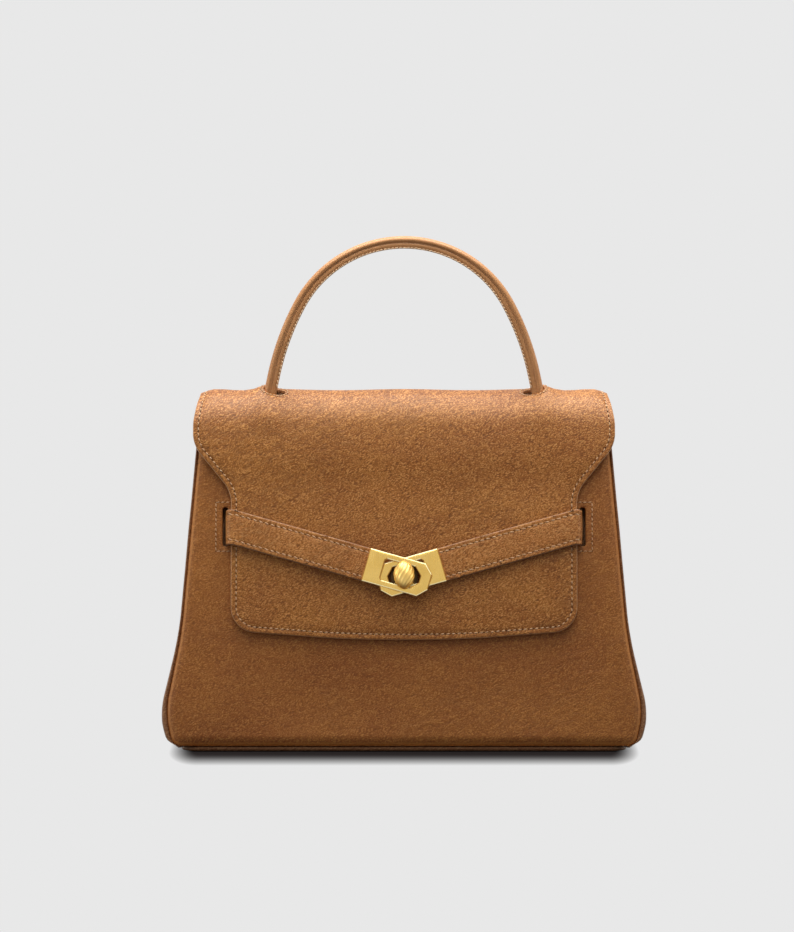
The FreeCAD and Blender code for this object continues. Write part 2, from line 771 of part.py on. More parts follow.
def make_straps():
    """Both straps with their plates. The left one lies over the right one at the knob."""
    for name, shape in strap_pieces().items():
        keep("right_" + name, on_front(shape))
        lifted = other_side(shape)
        lifted.rotate(V(-strap_root_x, -strap_root_rise, 0), Z_AXIS, -strap_lift)
        keep("left_" + name, on_front(lifted))


def make_strap_seats():
    """Strap tails sewn behind the panel, and the patches that stiffen the slots."""
    half = strap_radius
    top = strap_root_rise - strap_radius - tail_play
    stem = rounded_face([
        (strap_root_x + half, slot_height + strap_half_width, 0),
        (strap_root_x + half, slot_height - strap_half_width, 0),
        (strap_root_x - half, slot_height - strap_half_width, 0),
        (strap_root_x - half, slot_height + strap_half_width, 0),
    ], elevation)
    leg = rounded_face([
        (strap_root_x + half, slot_height + strap_half_width, 0),
        (strap_root_x + half, slot_height - strap_half_width, 0),
        (strap_root_x - tail_length, slot_height - strap_half_width, 0),
        (strap_root_x - tail_length, slot_height + strap_half_width, 0),
    ], elevation)
    tail = on_front(fused([prism(stem, tail_inner, top), prism(leg, tail_inner, tail_outer)]))
    half_width = slot_width / 2 + patch_margin
    half_length = slot_length / 2 + patch_margin
    patch_face = rounded_face([
        (slot_x + half_width, slot_height + half_length, patch_radius),
        (slot_x + half_width, slot_height - half_length, patch_radius),
        (slot_x - half_width, slot_height - half_length, patch_radius),
        (slot_x - half_width, slot_height + half_length, patch_radius),
    ], elevation)
    patch = on_front(prism(patch_face, patch_inner, -panel_thickness).cut(slot_cutter()))
    keep("right_strap_tail", tail)
    keep("left_strap_tail", other_side(tail))
    keep("right_slot_patch", patch)
    keep("left_slot_patch", other_side(patch))


make_panels()
make_base()
make_gussets()
make_linings()
make_flap()
make_handle()
make_lock()
make_knob()
make_straps()
make_strap_seats()

os.makedirs("parts", exist_ok=True)
for node, solid in PARTS.items():
    solid.exportStep("parts/" + node + ".step")
    print(node, len(solid.Solids), solid.isValid(), round(solid.Volume, 1))
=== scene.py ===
"""Looks of a leather top handle bag: grained leather, sewn edges and a gilt turn lock on a pale stage.

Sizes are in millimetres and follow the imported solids. A mesh is made in millimetres and scaled to
metres as it is finished. Heights run up a leaning panel, and offsets stand off its outer face.
"""
import logging
import math
from dataclasses import dataclass, field
from enum import Enum
from functools import cached_property
from typing import Callable, Dict, List, Optional, Sequence, Tuple

import bmesh
import bpy
from mathutils import Matrix, Vector


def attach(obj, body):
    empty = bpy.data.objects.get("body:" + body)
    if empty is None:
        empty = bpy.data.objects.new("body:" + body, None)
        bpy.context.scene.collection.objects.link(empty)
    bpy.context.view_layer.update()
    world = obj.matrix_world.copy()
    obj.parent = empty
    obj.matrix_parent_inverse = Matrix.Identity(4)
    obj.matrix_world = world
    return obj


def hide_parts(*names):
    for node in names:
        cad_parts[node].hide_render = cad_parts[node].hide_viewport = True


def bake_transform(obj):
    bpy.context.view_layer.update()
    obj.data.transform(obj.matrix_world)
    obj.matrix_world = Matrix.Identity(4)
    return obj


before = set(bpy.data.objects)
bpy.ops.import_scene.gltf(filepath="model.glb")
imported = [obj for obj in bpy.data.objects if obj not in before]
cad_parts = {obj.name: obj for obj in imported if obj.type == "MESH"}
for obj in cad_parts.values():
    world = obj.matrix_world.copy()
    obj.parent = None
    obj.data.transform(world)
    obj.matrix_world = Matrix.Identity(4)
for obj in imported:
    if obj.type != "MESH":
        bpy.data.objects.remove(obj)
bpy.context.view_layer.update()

MM = 0.001
LOG = logging.getLogger("bag")
RIM_ANGLE = 1.0
MERGE = 1e-4
ORIGIN = (0.0, 0.0, 0.0)

Triple = Tuple[float, float, float]
Colour = Triple
Corner = Triple
Span = Tuple[float, float]
Table = Tuple[Span, ...]
Place = Callable[[float, float, float], Vector]
BMesh = bmesh.types.BMesh
Socket = bpy.types.NodeSocket


class Side(Enum):
    """The two sides of the bag, as the sign of x."""

    LEFT = -1
    RIGHT = 1


class Body(Enum):
    """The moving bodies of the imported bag."""

    BAG = "bag_body"
    FLAP = "flap"
    KNOB = "lock_knob"
    LEFT_STRAP = "left_strap"
    RIGHT_STRAP = "right_strap"


class Slot(Enum):
    """The record's material slots, which the new pieces carry but which nothing here applies."""

    BODY = "body_leather"
    STRAP = "strap_leather"
    HANDLE = "handle_leather"
    LINING = "lining_suede"
    GILT = "gilt_brass"


def ease(low: float, high: float, value: float) -> float:
    """Smooth step from 0 at low to 1 at high."""
    share = min(1.0, max(0.0, (value - low) / (high - low)))
    return share * share * (3.0 - 2.0 * share)


def along_table(table: Sequence[Span], value: float) -> float:
    """Value read off a table of (key, value) rows, straight between the rows.

    Args:
        table: Rows in rising order of their keys.
        value: The key to read at.

    Returns:
        The interpolated value, held at the ends.
    """
    if value <= table[0][0]:
        return table[0][1]
    for (low, first), (high, second) in zip(table, table[1:]):
        if value <= high:
            return first + (second - first) * (value - low) / (high - low)
    return table[-1][1]


def opaque(colour: Colour) -> Tuple[float, float, float, float]:
    """A colour with full alpha."""
    return (*colour, 1.0)


class Shader:
    """A node material under construction."""

    def __init__(self, name: str) -> None:
        """Start a material with one Principled surface."""
        self.material = bpy.data.materials.new(name)
        self.material.use_nodes = True
        self.tree = self.material.node_tree
        self.surface = self.tree.nodes["Principled BSDF"]

    def node(self, kind: str, inputs: Optional[Dict] = None, **settings: object) -> bpy.types.Node:
        """Add a node.

        Args:
            kind: Blender's node type.
            inputs: Socket values or sockets to link, by input name or index.
            settings: Node properties.

        Returns:
            The new node.
        """
        made = self.tree.nodes.new(kind)
        for key, value in settings.items():
            setattr(made, key, value)
        for key, value in (inputs or {}).items():
            self.feed(made.inputs[key], value)
        return made

    def feed(self, socket: Socket, value: object) -> None:
        """Link a socket into an input, or set the input's own value."""
        if isinstance(value, Socket):
            self.tree.links.new(value, socket)
        else:
            socket.default_value = value

    def maths(self, operation: str, first: object, second: object) -> Socket:
        """Result of a Math node on two values or sockets."""
        return self.node("ShaderNodeMath", {0: first, 1: second}, operation=operation).outputs[0]

    def times(self, first: object, second: object) -> Socket:
        """Product of two values or sockets."""
        return self.maths("MULTIPLY", first, second)

    def plus(self, first: object, second: object) -> Socket:
        """Sum of two values or sockets."""
        return self.maths("ADD", first, second)

    def vector(self, operation: str, first: object, second: object = ORIGIN) -> Socket:
        """Vector result of a Vector Math node."""
        return self.node("ShaderNodeVectorMath", {0: first, 1: second}, operation=operation).outputs[0]

    def spread(
            self, value: object, low: float, high: float, to_low: float = 0.0,
            to_high: float = 1.0) -> Socket:
        """Result of a clamped Map Range node."""
        inputs = {"Value": value, "From Min": low, "From Max": high, "To Min": to_low, "To Max": to_high}
        return self.node("ShaderNodeMapRange", inputs).outputs[0]

    def blend(self, share: object, first: object, second: object) -> Socket:
        """Colour between two colours by a share."""
        mixed = self.node("ShaderNodeMix", data_type="RGBA")
        for index, value in ((0, share), (6, first), (7, second)):
            self.feed(mixed.inputs[index], value)
        return mixed.outputs[2]

    def point(self, stretch: Triple = (1.0, 1.0, 1.0)) -> Socket:
        """Object coordinates, stretched."""
        where = self.node("ShaderNodeTexCoord").outputs["Object"]
        return self.node("ShaderNodeMapping", {"Vector": where, "Scale": stretch}).outputs[0]

    def noise(self, where: object, scale: float, detail: float = 3.0, distortion: float = 0.0) -> Socket:
        """Value of a Noise texture."""
        inputs = {"Vector": where, "Scale": scale, "Detail": detail, "Distortion": distortion}
        return self.node("ShaderNodeTexNoise", inputs).outputs[0]

    def relief(self, height: object, depth: float) -> None:
        """Give the surface a bump of a depth in metres."""
        inputs = {"Height": height, "Distance": depth, "Strength": 1.0}
        self.feed(self.surface.inputs["Normal"], self.node("ShaderNodeBump", inputs).outputs[0])


@dataclass(frozen=True)
class LeatherFinish:
    """Grained leather: slanting pebbles with a painted highlight on their tips, mixed with a random tone per
    pebble, and a painted shade in their hollows; soft wrinkles with painted light and shade and dark painted
    crease lines along them; and a mottled dye.
    """

    name: str
    light: Colour
    deep: Colour
    # Colour of the painted highlight on pebble tips.
    painted_glint: Colour
    contrast: float
    # Colour of the painted shade in pebble hollows and crease lines.
    painted_crease_shade: Colour = (0.085, 0.024, 0.005)
    pebbles: Triple = (780.0, 780.0, 2300.0)
    pebble_span: Span = (0.8, 0.2)
    pebble_rise: float = 0.00006
    wrinkles: Triple = (85.0, 85.0, 380.0)
    wrinkle_rise: float = 0.0003
    # Share of painted light and shade that follows the wrinkles.
    wrinkle_shading_tone: float = 0.3
    line_half_width: float = 0.06
    crease_shade_share: float = 0.6
    slant: float = 0.48
    drift: float = 0.006
    drift_scale: float = 70.0
    patch_scale: float = 17.0
    patch_span: Span = (0.42, 0.6)
    patch_least: float = 0.15
    mottle: Triple = (0.8, 1.0, 1.4)
    mottle_scale: float = 17.0
    mottle_span: Span = (0.3, 0.7)
    tones: Triple = (0.2, 0.5, 0.8)
    roughness: float = 0.42
    specular: float = 0.5
    gloss_tint: Colour = (1.0, 0.82, 0.63)

    def slanted(self, shader: Shader, where: Socket, scale: Triple) -> Socket:
        """Coordinates that slant up to the right in the front view and are then stretched."""
        turn = {"Vector": where, "Rotation": (0.0, self.slant, 0.0)}
        turned = shader.node("ShaderNodeMapping", turn).outputs[0]
        return shader.node("ShaderNodeMapping", {"Vector": turned, "Scale": scale}).outputs[0]

    def warped(self, shader: Shader, where: Socket) -> Socket:
        """Coordinates that drift a little, so that no row of pebbles runs straight."""
        noise = {"Vector": where, "Scale": self.drift_scale, "Detail": 3.0}
        drift = shader.node("ShaderNodeTexNoise", noise).outputs[1]
        shift = shader.node("ShaderNodeVectorMath", {0: drift, "Scale": self.drift}, operation="SCALE")
        return shader.vector("ADD", where, shift.outputs[0])

    def material(self) -> bpy.types.Material:
        """Build the leather's node material."""
        shader = Shader(self.name)
        where = shader.point()
        warped = self.warped(shader, where)
        cells = {"Vector": self.slanted(shader, warped, self.pebbles), "Scale": 1.0}
        pebble = shader.node("ShaderNodeTexVoronoi", cells).outputs
        dome = shader.spread(pebble["Distance"], *self.pebble_span)
        fold = shader.noise(self.slanted(shader, warped, self.wrinkles), 1.0, 3.0, 0.2)
        patches = shader.noise(where, self.patch_scale, 2.0)
        patch = shader.spread(patches, *self.patch_span, self.patch_least, 1.0)
        wrinkle = shader.times(shader.times(fold, patch), self.wrinkle_rise)
        shader.relief(shader.plus(shader.times(dome, self.pebble_rise), wrinkle), 1.0)
        low, middle, high = self.tones
        mottle = shader.noise(shader.point(self.mottle), self.mottle_scale, 3.0, 0.4)
        dye = shader.blend(shader.spread(mottle, *self.mottle_span), opaque(self.deep), opaque(self.light))
        swing = shader.maths("SUBTRACT", fold, 0.5)
        # Painted light and shade that rise and fall with the wrinkles.
        wrinkle_shading = shader.times(swing, shader.times(patch, self.wrinkle_shading_tone))
        tone = shader.plus(shader.times(pebble["Color"], 0.5), shader.times(dome, 0.5))
        tone = shader.plus(tone, wrinkle_shading)
        # Painted highlight on pebble tips, with a random tone per pebble.
        bright = shader.spread(tone, middle, high, 0.0, self.contrast)
        # Painted shade in pebble hollows.
        hollow = shader.spread(tone, middle, low, 0.0, self.contrast)
        swung = shader.maths("ABSOLUTE", swing, 0.0)
        # Dark painted crease lines along the wrinkles.
        fine = shader.spread(swung, self.line_half_width, 0.0, 0.0, self.crease_shade_share)
        line = shader.times(fine, shader.times(patch, patch))
        dark = shader.maths("MAXIMUM", hollow, shader.times(line, self.contrast))
        dye_and_glints = shader.blend(bright, dye, opaque(self.painted_glint))
        surface = shader.surface.inputs
        shader.feed(surface["Base Color"], shader.blend(dark, dye_and_glints, opaque(self.painted_crease_shade)))
        rough = shader.spread(dome, 0.0, 1.0, self.roughness + 0.12, self.roughness - 0.06)
        shader.feed(surface["Roughness"], rough)
        surface["Specular IOR Level"].default_value = self.specular
        surface["Specular Tint"].default_value = opaque(self.gloss_tint)
        return shader.material


@dataclass(frozen=True)
class NapFinish:
    """Matt material with a short nap or fibre: suede, cut edges, board and thread."""

    name: str
    light: Colour
    deep: Colour
    grain: float = 900.0
    stretch: Triple = (1.0, 1.0, 1.0)
    relief: float = 0.00012
    cloud_scale: float = 38.0
    tone_span: Span = (0.36, 0.66)
    roughness: float = 0.8
    specular: float = 0.25
    sheen: float = 0.2

    def material(self) -> bpy.types.Material:
        """Build the napped node material."""
        shader = Shader(self.name)
        fibre = shader.noise(shader.point(self.stretch), self.grain, 4.0, 0.4)
        cloud = shader.noise(shader.point(), self.cloud_scale, 4.0)
        tone = shader.plus(shader.times(fibre, 0.5), shader.times(cloud, 0.5))
        colour = shader.blend(shader.spread(tone, *self.tone_span), opaque(self.deep), opaque(self.light))
        shader.relief(fibre, self.relief)
        surface = shader.surface.inputs
        shader.feed(surface["Base Color"], colour)
        rough = shader.spread(fibre, 0.3, 0.7, self.roughness - 0.06, self.roughness + 0.06)
        shader.feed(surface["Roughness"], rough)
        surface["Specular IOR Level"].default_value = self.specular
        surface["Sheen Weight"].default_value = self.sheen
        return shader.material


@dataclass(frozen=True)
class MetalFinish:
    """Polished plated metal with faint polishing marks."""

    name: str
    light: Colour
    deep: Colour
    roughness: float
    marks: Triple = (1500.0, 250.0, 90.0)
    mark_depth: float = 0.00002
    cloud_scale: float = 110.0
    cloud_span: Span = (0.35, 0.65)

    def material(self) -> bpy.types.Material:
        """Build the metal's node material."""
        shader = Shader(self.name)
        marks = shader.noise(shader.point(self.marks), 1.0, 3.0)
        cloud = shader.noise(shader.point(), self.cloud_scale, 3.0)
        colour = shader.blend(shader.spread(cloud, *self.cloud_span), opaque(self.deep), opaque(self.light))
        shader.relief(marks, self.mark_depth)
        surface = shader.surface.inputs
        shader.feed(surface["Base Color"], colour)
        rough = shader.spread(marks, 0.3, 0.7, self.roughness - 0.04, self.roughness + 0.06)
        shader.feed(surface["Roughness"], rough)
        surface["Metallic"].default_value = 1.0
        return shader.material


BODY_LEATHER = LeatherFinish(
    "body_leather", (0.41, 0.146, 0.025), (0.285, 0.081, 0.0115), (0.74, 0.36, 0.11), contrast=0.72)
# A darker copy of the body leather: painted shade on the panels, which lie under the flap.
PANEL_LEATHER_IN_SHADE = LeatherFinish(
    "panel_leather", (0.355, 0.119, 0.02), (0.254, 0.07, 0.01), (0.68, 0.31, 0.087), contrast=0.5)
# Lighter, smoother leather on the panels' rims and the front's curved border: a painted highlight.
PANEL_BORDER_HIGHLIGHT = LeatherFinish(
    "panel_border_painted_highlight", (0.50, 0.185, 0.037), (0.42, 0.142, 0.026), (0.62, 0.27, 0.075), contrast=0.25,
    pebble_rise=0.00002)
# Darker, greyer leather of the side walls; on the base its darkness is a painted shade.
SIDE_LEATHER_AND_BASE_SHADE = LeatherFinish(
    "side_leather_and_base_shade", (0.27, 0.112, 0.044), (0.20, 0.075, 0.028), (0.45, 0.25, 0.12), contrast=0.6)
STRAP_LEATHER = LeatherFinish(
    "strap_leather", (0.54, 0.198, 0.043), (0.42, 0.136, 0.028), (0.76, 0.40, 0.14), contrast=0.75)
HANDLE_LEATHER = LeatherFinish(
    "handle_leather", (0.58, 0.275, 0.11), (0.46, 0.20, 0.072), (0.70, 0.39, 0.18), contrast=0.3,
    painted_crease_shade=(0.34, 0.15, 0.055), pebble_rise=0.00001, wrinkle_rise=0.00003, roughness=0.34)
# Paint on cut edges, made paler as a painted highlight along the rounded edges.
EDGE_PAINT_AND_HIGHLIGHT = NapFinish(
    "edge_paint_and_highlight", (0.70, 0.39, 0.20), (0.56, 0.29, 0.135), relief=0.00005, roughness=0.45, sheen=0.0)
STRAP_EDGE = NapFinish(
    "strap_edge", (0.36, 0.20, 0.115), (0.28, 0.15, 0.08), relief=0.00005, roughness=0.5, sheen=0.0)
HANDLE_THREAD = NapFinish(
    "handle_thread", (0.80, 0.58, 0.36), (0.68, 0.46, 0.27), grain=2400.0, relief=0.00006, roughness=0.6)
THREAD = NapFinish(
    "thread", (0.82, 0.55, 0.31), (0.64, 0.39, 0.20), grain=2400.0, relief=0.00006, roughness=0.6)
# Near-black needle holes: painted shade inside each hole.
NEEDLE_HOLE_SHADE = NapFinish("needle_hole_painted_shade", (0.075, 0.03, 0.012), (0.035, 0.014, 0.006), sheen=0.0)
LINING_SUEDE = NapFinish("lining_suede", (0.42, 0.235, 0.12), (0.30, 0.155, 0.075), grain=1300.0, sheen=0.35)
# Dark board, darkened so that the holes over it read as shaded: partly painted shade.
BOARD = NapFinish(
    "stiffener_board", (0.11, 0.05, 0.02), (0.07, 0.03, 0.012), grain=420.0, stretch=(0.25, 1.0, 1.0),
    sheen=0.0)
CORD = NapFinish("handle_cord", (0.72, 0.63, 0.47), (0.55, 0.46, 0.32), grain=1500.0)
GILT = MetalFinish("gilt_brass", (0.86, 0.57, 0.165), (0.80, 0.51, 0.13), roughness=0.24)
KNOB_GILT = MetalFinish("knob_gilt", (0.88, 0.62, 0.22), (0.80, 0.52, 0.15), roughness=0.38)
# Pale gilt on bevels that face across a plate: a painted highlight.
GILT_HIGHLIGHT = MetalFinish("gilt_edge", (0.98, 0.85, 0.48), (0.93, 0.79, 0.42), roughness=0.48)
# Dark gilt on bevels at a plate's ends: a painted shade.
GILT_SHADE = MetalFinish("shaded_gilt_edge", (0.52, 0.27, 0.06), (0.42, 0.21, 0.045), roughness=0.34)
# Near-black brass of the lock base: painted shade in the deep hole under the plates.
BRASS_IN_PAINTED_SHADE = MetalFinish("lock_base_painted_shade", (0.15, 0.092, 0.038), (0.09, 0.053, 0.022), roughness=0.5)
STEEL = MetalFinish("spring_steel", (0.62, 0.62, 0.63), (0.52, 0.52, 0.53), roughness=0.32)


class Paints:
    """Materials made once from their finishes."""

    def __init__(self) -> None:
        """Start with no material made."""
        self.made: Dict[str, bpy.types.Material] = {}

    def get(self, finish: object) -> bpy.types.Material:
        """Material of a finish."""
        if finish.name not in self.made:
            self.made[finish.name] = finish.material()
        return self.made[finish.name]


PAINTS = Paints()


def only(parts: Sequence[object], kind: type) -> List:
    """The parts of one kind, such as edges."""
    return [part for part in parts if isinstance(part, kind)]


def outward(bm: BMesh) -> None:
    """Turn a closed mesh's faces outwards."""
    bmesh.ops.recalc_face_normals(bm, faces=bm.faces[:])


def turn_over(bm: BMesh) -> None:
    """Turn every face of a mesh over."""
    bmesh.ops.reverse_faces(bm, faces=bm.faces[:])


def deepen(bm: BMesh, thickness: float) -> None:
    """Give a flat mesh a body below its faces."""
    lower = bm.verts[:]
    bmesh.ops.extrude_face_region(bm, geom=bm.faces[:])
    for vert in lower:
        vert.co.z = -thickness
    outward(bm)


def rims(bm: BMesh) -> List[bmesh.types.BMEdge]:
    """The edges at which a mesh turns sharply."""
    return [edge for edge in bm.edges if edge.is_manifold and edge.calc_face_angle() > RIM_ANGLE]


def round_off(bm: BMesh, parts: List, offset: float, segments: int, affect: str = "EDGES") -> None:
    """Round edges or corners with a bevel.

    Args:
        bm: The mesh.
        parts: Edges or vertices to round.
        offset: Reach of the rounding.
        segments: Segments across it.
        affect: Whether edges or vertices are rounded.
    """
    bmesh.ops.bevel(bm, geom=parts, offset=offset, offset_type="OFFSET", segments=segments, profile=0.5,
                    affect=affect, clamp_overlap=False, material=-1)


@dataclass(frozen=True)
class Bend:
    """A soft piece's turn between two bodies, from a start point to an end point in millimetres."""

    first: Body
    second: Body
    start: Vector
    end: Vector


@dataclass
class Piece:
    """A finished mesh on its way into the scene."""

    name: str
    finishes: Sequence[object]
    slot: Slot
    body: Optional[Body] = None
    bend: Optional[Bend] = None
    replaced: Sequence[str] = ()
    sharp_deg: float = 50.0

    def add(self, bm: BMesh) -> None:
        """Scale a millimetre mesh to metres and put it in the scene, on its body if it has one; a piece with
        a bend gets no body.

        Args:
            bm: The mesh, which is freed.
        """
        bmesh.ops.scale(bm, vec=(MM, MM, MM), verts=bm.verts)
        for face in bm.faces:
            face.smooth = True
        mesh = bpy.data.meshes.new(self.name)
        bm.to_mesh(mesh)
        bm.free()
        mesh.set_sharp_from_angle(angle=math.radians(self.sharp_deg))
        for finish in self.finishes:
            mesh.materials.append(PAINTS.get(finish))
        made = bpy.data.objects.new(self.name, mesh)
        bpy.context.scene.collection.objects.link(made)
        if self.bend is not None:
            ends = [tuple(end * MM) for end in (self.bend.start, self.bend.end)]
            self.bend.first.value
            self.bend.second.value
            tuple(ends[0])
            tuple(ends[1])
            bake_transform(made)
        else:
            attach(made, self.body.value)
        if self.replaced:
            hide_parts(*self.replaced)
        LOG.info("%s: %d faces", self.name, len(mesh.polygons))


def rectangle(centre: Span, wide: float, high: float, radius: float) -> List[Corner]:
    """Corners of a rectangle from its middle, half sizes and corner radius."""
    signs = ((1, 1), (-1, 1), (-1, -1), (1, -1))
    return [(centre[0] + a * wide, centre[1] + b * high, radius) for a, b in signs]


def both_sides(half: Sequence[Corner]) -> List[Corner]:
    """Corners of a symmetric outline from those of its right half, listed from top to bottom."""
    return list(half) + [(-a, b, radius) for a, b, radius in reversed(half) if a > 0]


def oval(bm: BMesh, centre: Span, radius: float, stretch: Span) -> List:
    """Closed loop of edges round a slot with round ends.

    Args:
        bm: Mesh that gets the loop.
        centre: Middle of the slot.
        radius: Radius of its ends.
        stretch: Half lengths of the straight runs along both axes.

    Returns:
        The loop's edges.
    """
    verts = bmesh.ops.create_circle(bm, cap_ends=False, segments=32, radius=radius)["verts"]
    for vert in verts:
        vert.co.x += centre[0] + math.copysign(stretch[0], vert.co.x)
        vert.co.y += centre[1] + math.copysign(stretch[1], vert.co.y)
    return list({edge for vert in verts for edge in vert.link_edges})


class Sheet:
    """A flat cut of leather that is hemmed, pierced, thickened and then bent into its place.

    The cut lies in x and y with its outer face up.
    """

    PAD_SHARE = 1.6
    CURVE_SHARE = 0.35
    CURVE_DROP_SHARE = 0.42

    def __init__(self, corners: Sequence[Corner], segments: int = 6) -> None:
        """Cut an outline whose corners are rounded by bevels.

        Args:
            corners: Corners as (x, y, radius) in order round the outline.
            segments: Segments in each rounded corner.
        """
        self.bm = bmesh.new()
        verts = [self.bm.verts.new((a, b, 0.0)) for a, b, _ in corners]
        self.face = self.bm.faces.new(verts)
        points = [vert.co.copy() for vert in verts]
        for index, (vert, (_, _, radius)) in enumerate(zip(verts, corners)):
            if radius <= 0:
                continue
            back = points[index - 1] - points[index]
            ahead = points[(index + 1) % len(points)] - points[index]
            reach = radius / math.tan(back.angle(ahead) / 2)
            round_off(self.bm, [vert], reach, segments, "VERTICES")
        self.bm.normal_update()
        self.face = self.bm.faces[:][0]
        if self.face.normal.z < 0:
            bmesh.ops.reverse_faces(self.bm, faces=[self.face])

    def hem(self, width: float, lift: float = 0.0) -> List[Vector]:
        """Draw a line inside the outline, raised or sunk.

        Args:
            width: Distance in from the last line.
            lift: Height of the new line.

        Returns:
            The line's points in order.
        """
        bmesh.ops.inset_region(
            self.bm, faces=[self.face], thickness=width, use_even_offset=True, use_boundary=True)
        for vert in self.face.verts:
            vert.co.z = lift
        return [vert.co.copy() for vert in self.face.verts]

    def sewn_hem(
            self, margin: float, groove: float = 0.7, sink: float = 0.3, lift: float = 0.12) -> List[Vector]:
        """A pressed groove for a seam inside the edge, with the field a little padded inside it.

        Args:
            margin: Distance of the seam from the edge.
            groove: Half width of the groove.
            sink: Depth of the groove.
            lift: Height of the padded field.

        Returns:
            The seam line's points in order.
        """
        self.hem(margin - groove)
        line = self.hem(groove, -sink)
        self.hem(groove * self.PAD_SHARE, lift)
        return line

    def soft_edge(self, drop: float, reach: float) -> None:
        """Let the outer face curve down towards the edge.

        Args:
            drop: How far the edge lies below the field.
            reach: Width of the curve.
        """
        for vert in self.face.verts:
            vert.co.z = -drop
        self.hem(reach * self.CURVE_SHARE, -drop * self.CURVE_DROP_SHARE)
        self.hem(reach * (1.0 - self.CURVE_SHARE))

    def slice(self, axis: int, places: Sequence[float]) -> None:
        """Cut the sheet across an axis at several places."""
        normal = Vector(ORIGIN)
        normal[axis] = 1.0
        for place in places:
            geometry = self.bm.verts[:] + self.bm.edges[:] + self.bm.faces[:]
            bmesh.ops.bisect_plane(
                self.bm, geom=geometry, dist=MERGE, plane_co=normal * place, plane_no=normal)

    def grid(self, step_x: float, step_y: float) -> None:
        """Cut the whole sheet into a grid of about these steps."""
        for axis, step in ((0, step_x), (1, step_y)):
            values = [vert.co[axis] for vert in self.bm.verts]
            low, high = min(values), max(values)
            count = max(1, round((high - low) / step))
            self.slice(axis, [low + (high - low) * index / count for index in range(1, count)])

    def pierce(self, centre: Span, radius: float, stretch: Span, margin: float) -> None:
        """Open a slot with round ends.

        Args:
            centre: Middle of the slot.
            radius: Radius of its ends.
            stretch: Half lengths of its straight runs.
            margin: Width of the block round the slot that is cut again.
        """
        reach = [radius + stretch[axis] + margin for axis in (0, 1)]
        for axis in (0, 1):
            self.slice(axis, [centre[axis] - reach[axis], centre[axis] + reach[axis]])

        def inside(point: Vector) -> bool:
            """Whether a point is in the block."""
            return all(abs(point[axis] - centre[axis]) < reach[axis] + 1e-3 for axis in (0, 1))

        block = [face for face in self.bm.faces if inside(face.calc_center_median())]
        bmesh.ops.delete(self.bm, geom=block, context="FACES")
        rim = [edge for edge in self.bm.edges
               if len(edge.link_faces) == 1 and all(inside(vert.co) for vert in edge.verts)]
        loop = oval(self.bm, centre, radius, stretch)
        bmesh.ops.bridge_loops(self.bm, edges=rim + loop)

    def thicken(self, thickness: float, rounding: float, segments: int = 3, lean: float = 0.85) -> None:
        """Give the sheet a body below its outer face, with rounded rims whose sides take the second finish.

        Args:
            thickness: Thickness of the sheet.
            rounding: Radius of the rims.
            segments: Segments of the rounding.
            lean: Upright share of a face's normal below which the face takes the second finish.
        """
        deepen(self.bm, thickness)
        round_off(self.bm, rims(self.bm), rounding, segments)
        self.bm.normal_update()
        for face in self.bm.faces:
            face.material_index = 1 if abs(face.normal.z) < lean else 0

    def bend(self, place: Place) -> BMesh:
        """Move every point of the flat cut to its place on the bag.

        Args:
            place: Place of a flat point, from its x, y and height.

        Returns:
            The bent mesh.
        """
        for vert in self.bm.verts:
            vert.co = place(*vert.co)
        return self.bm


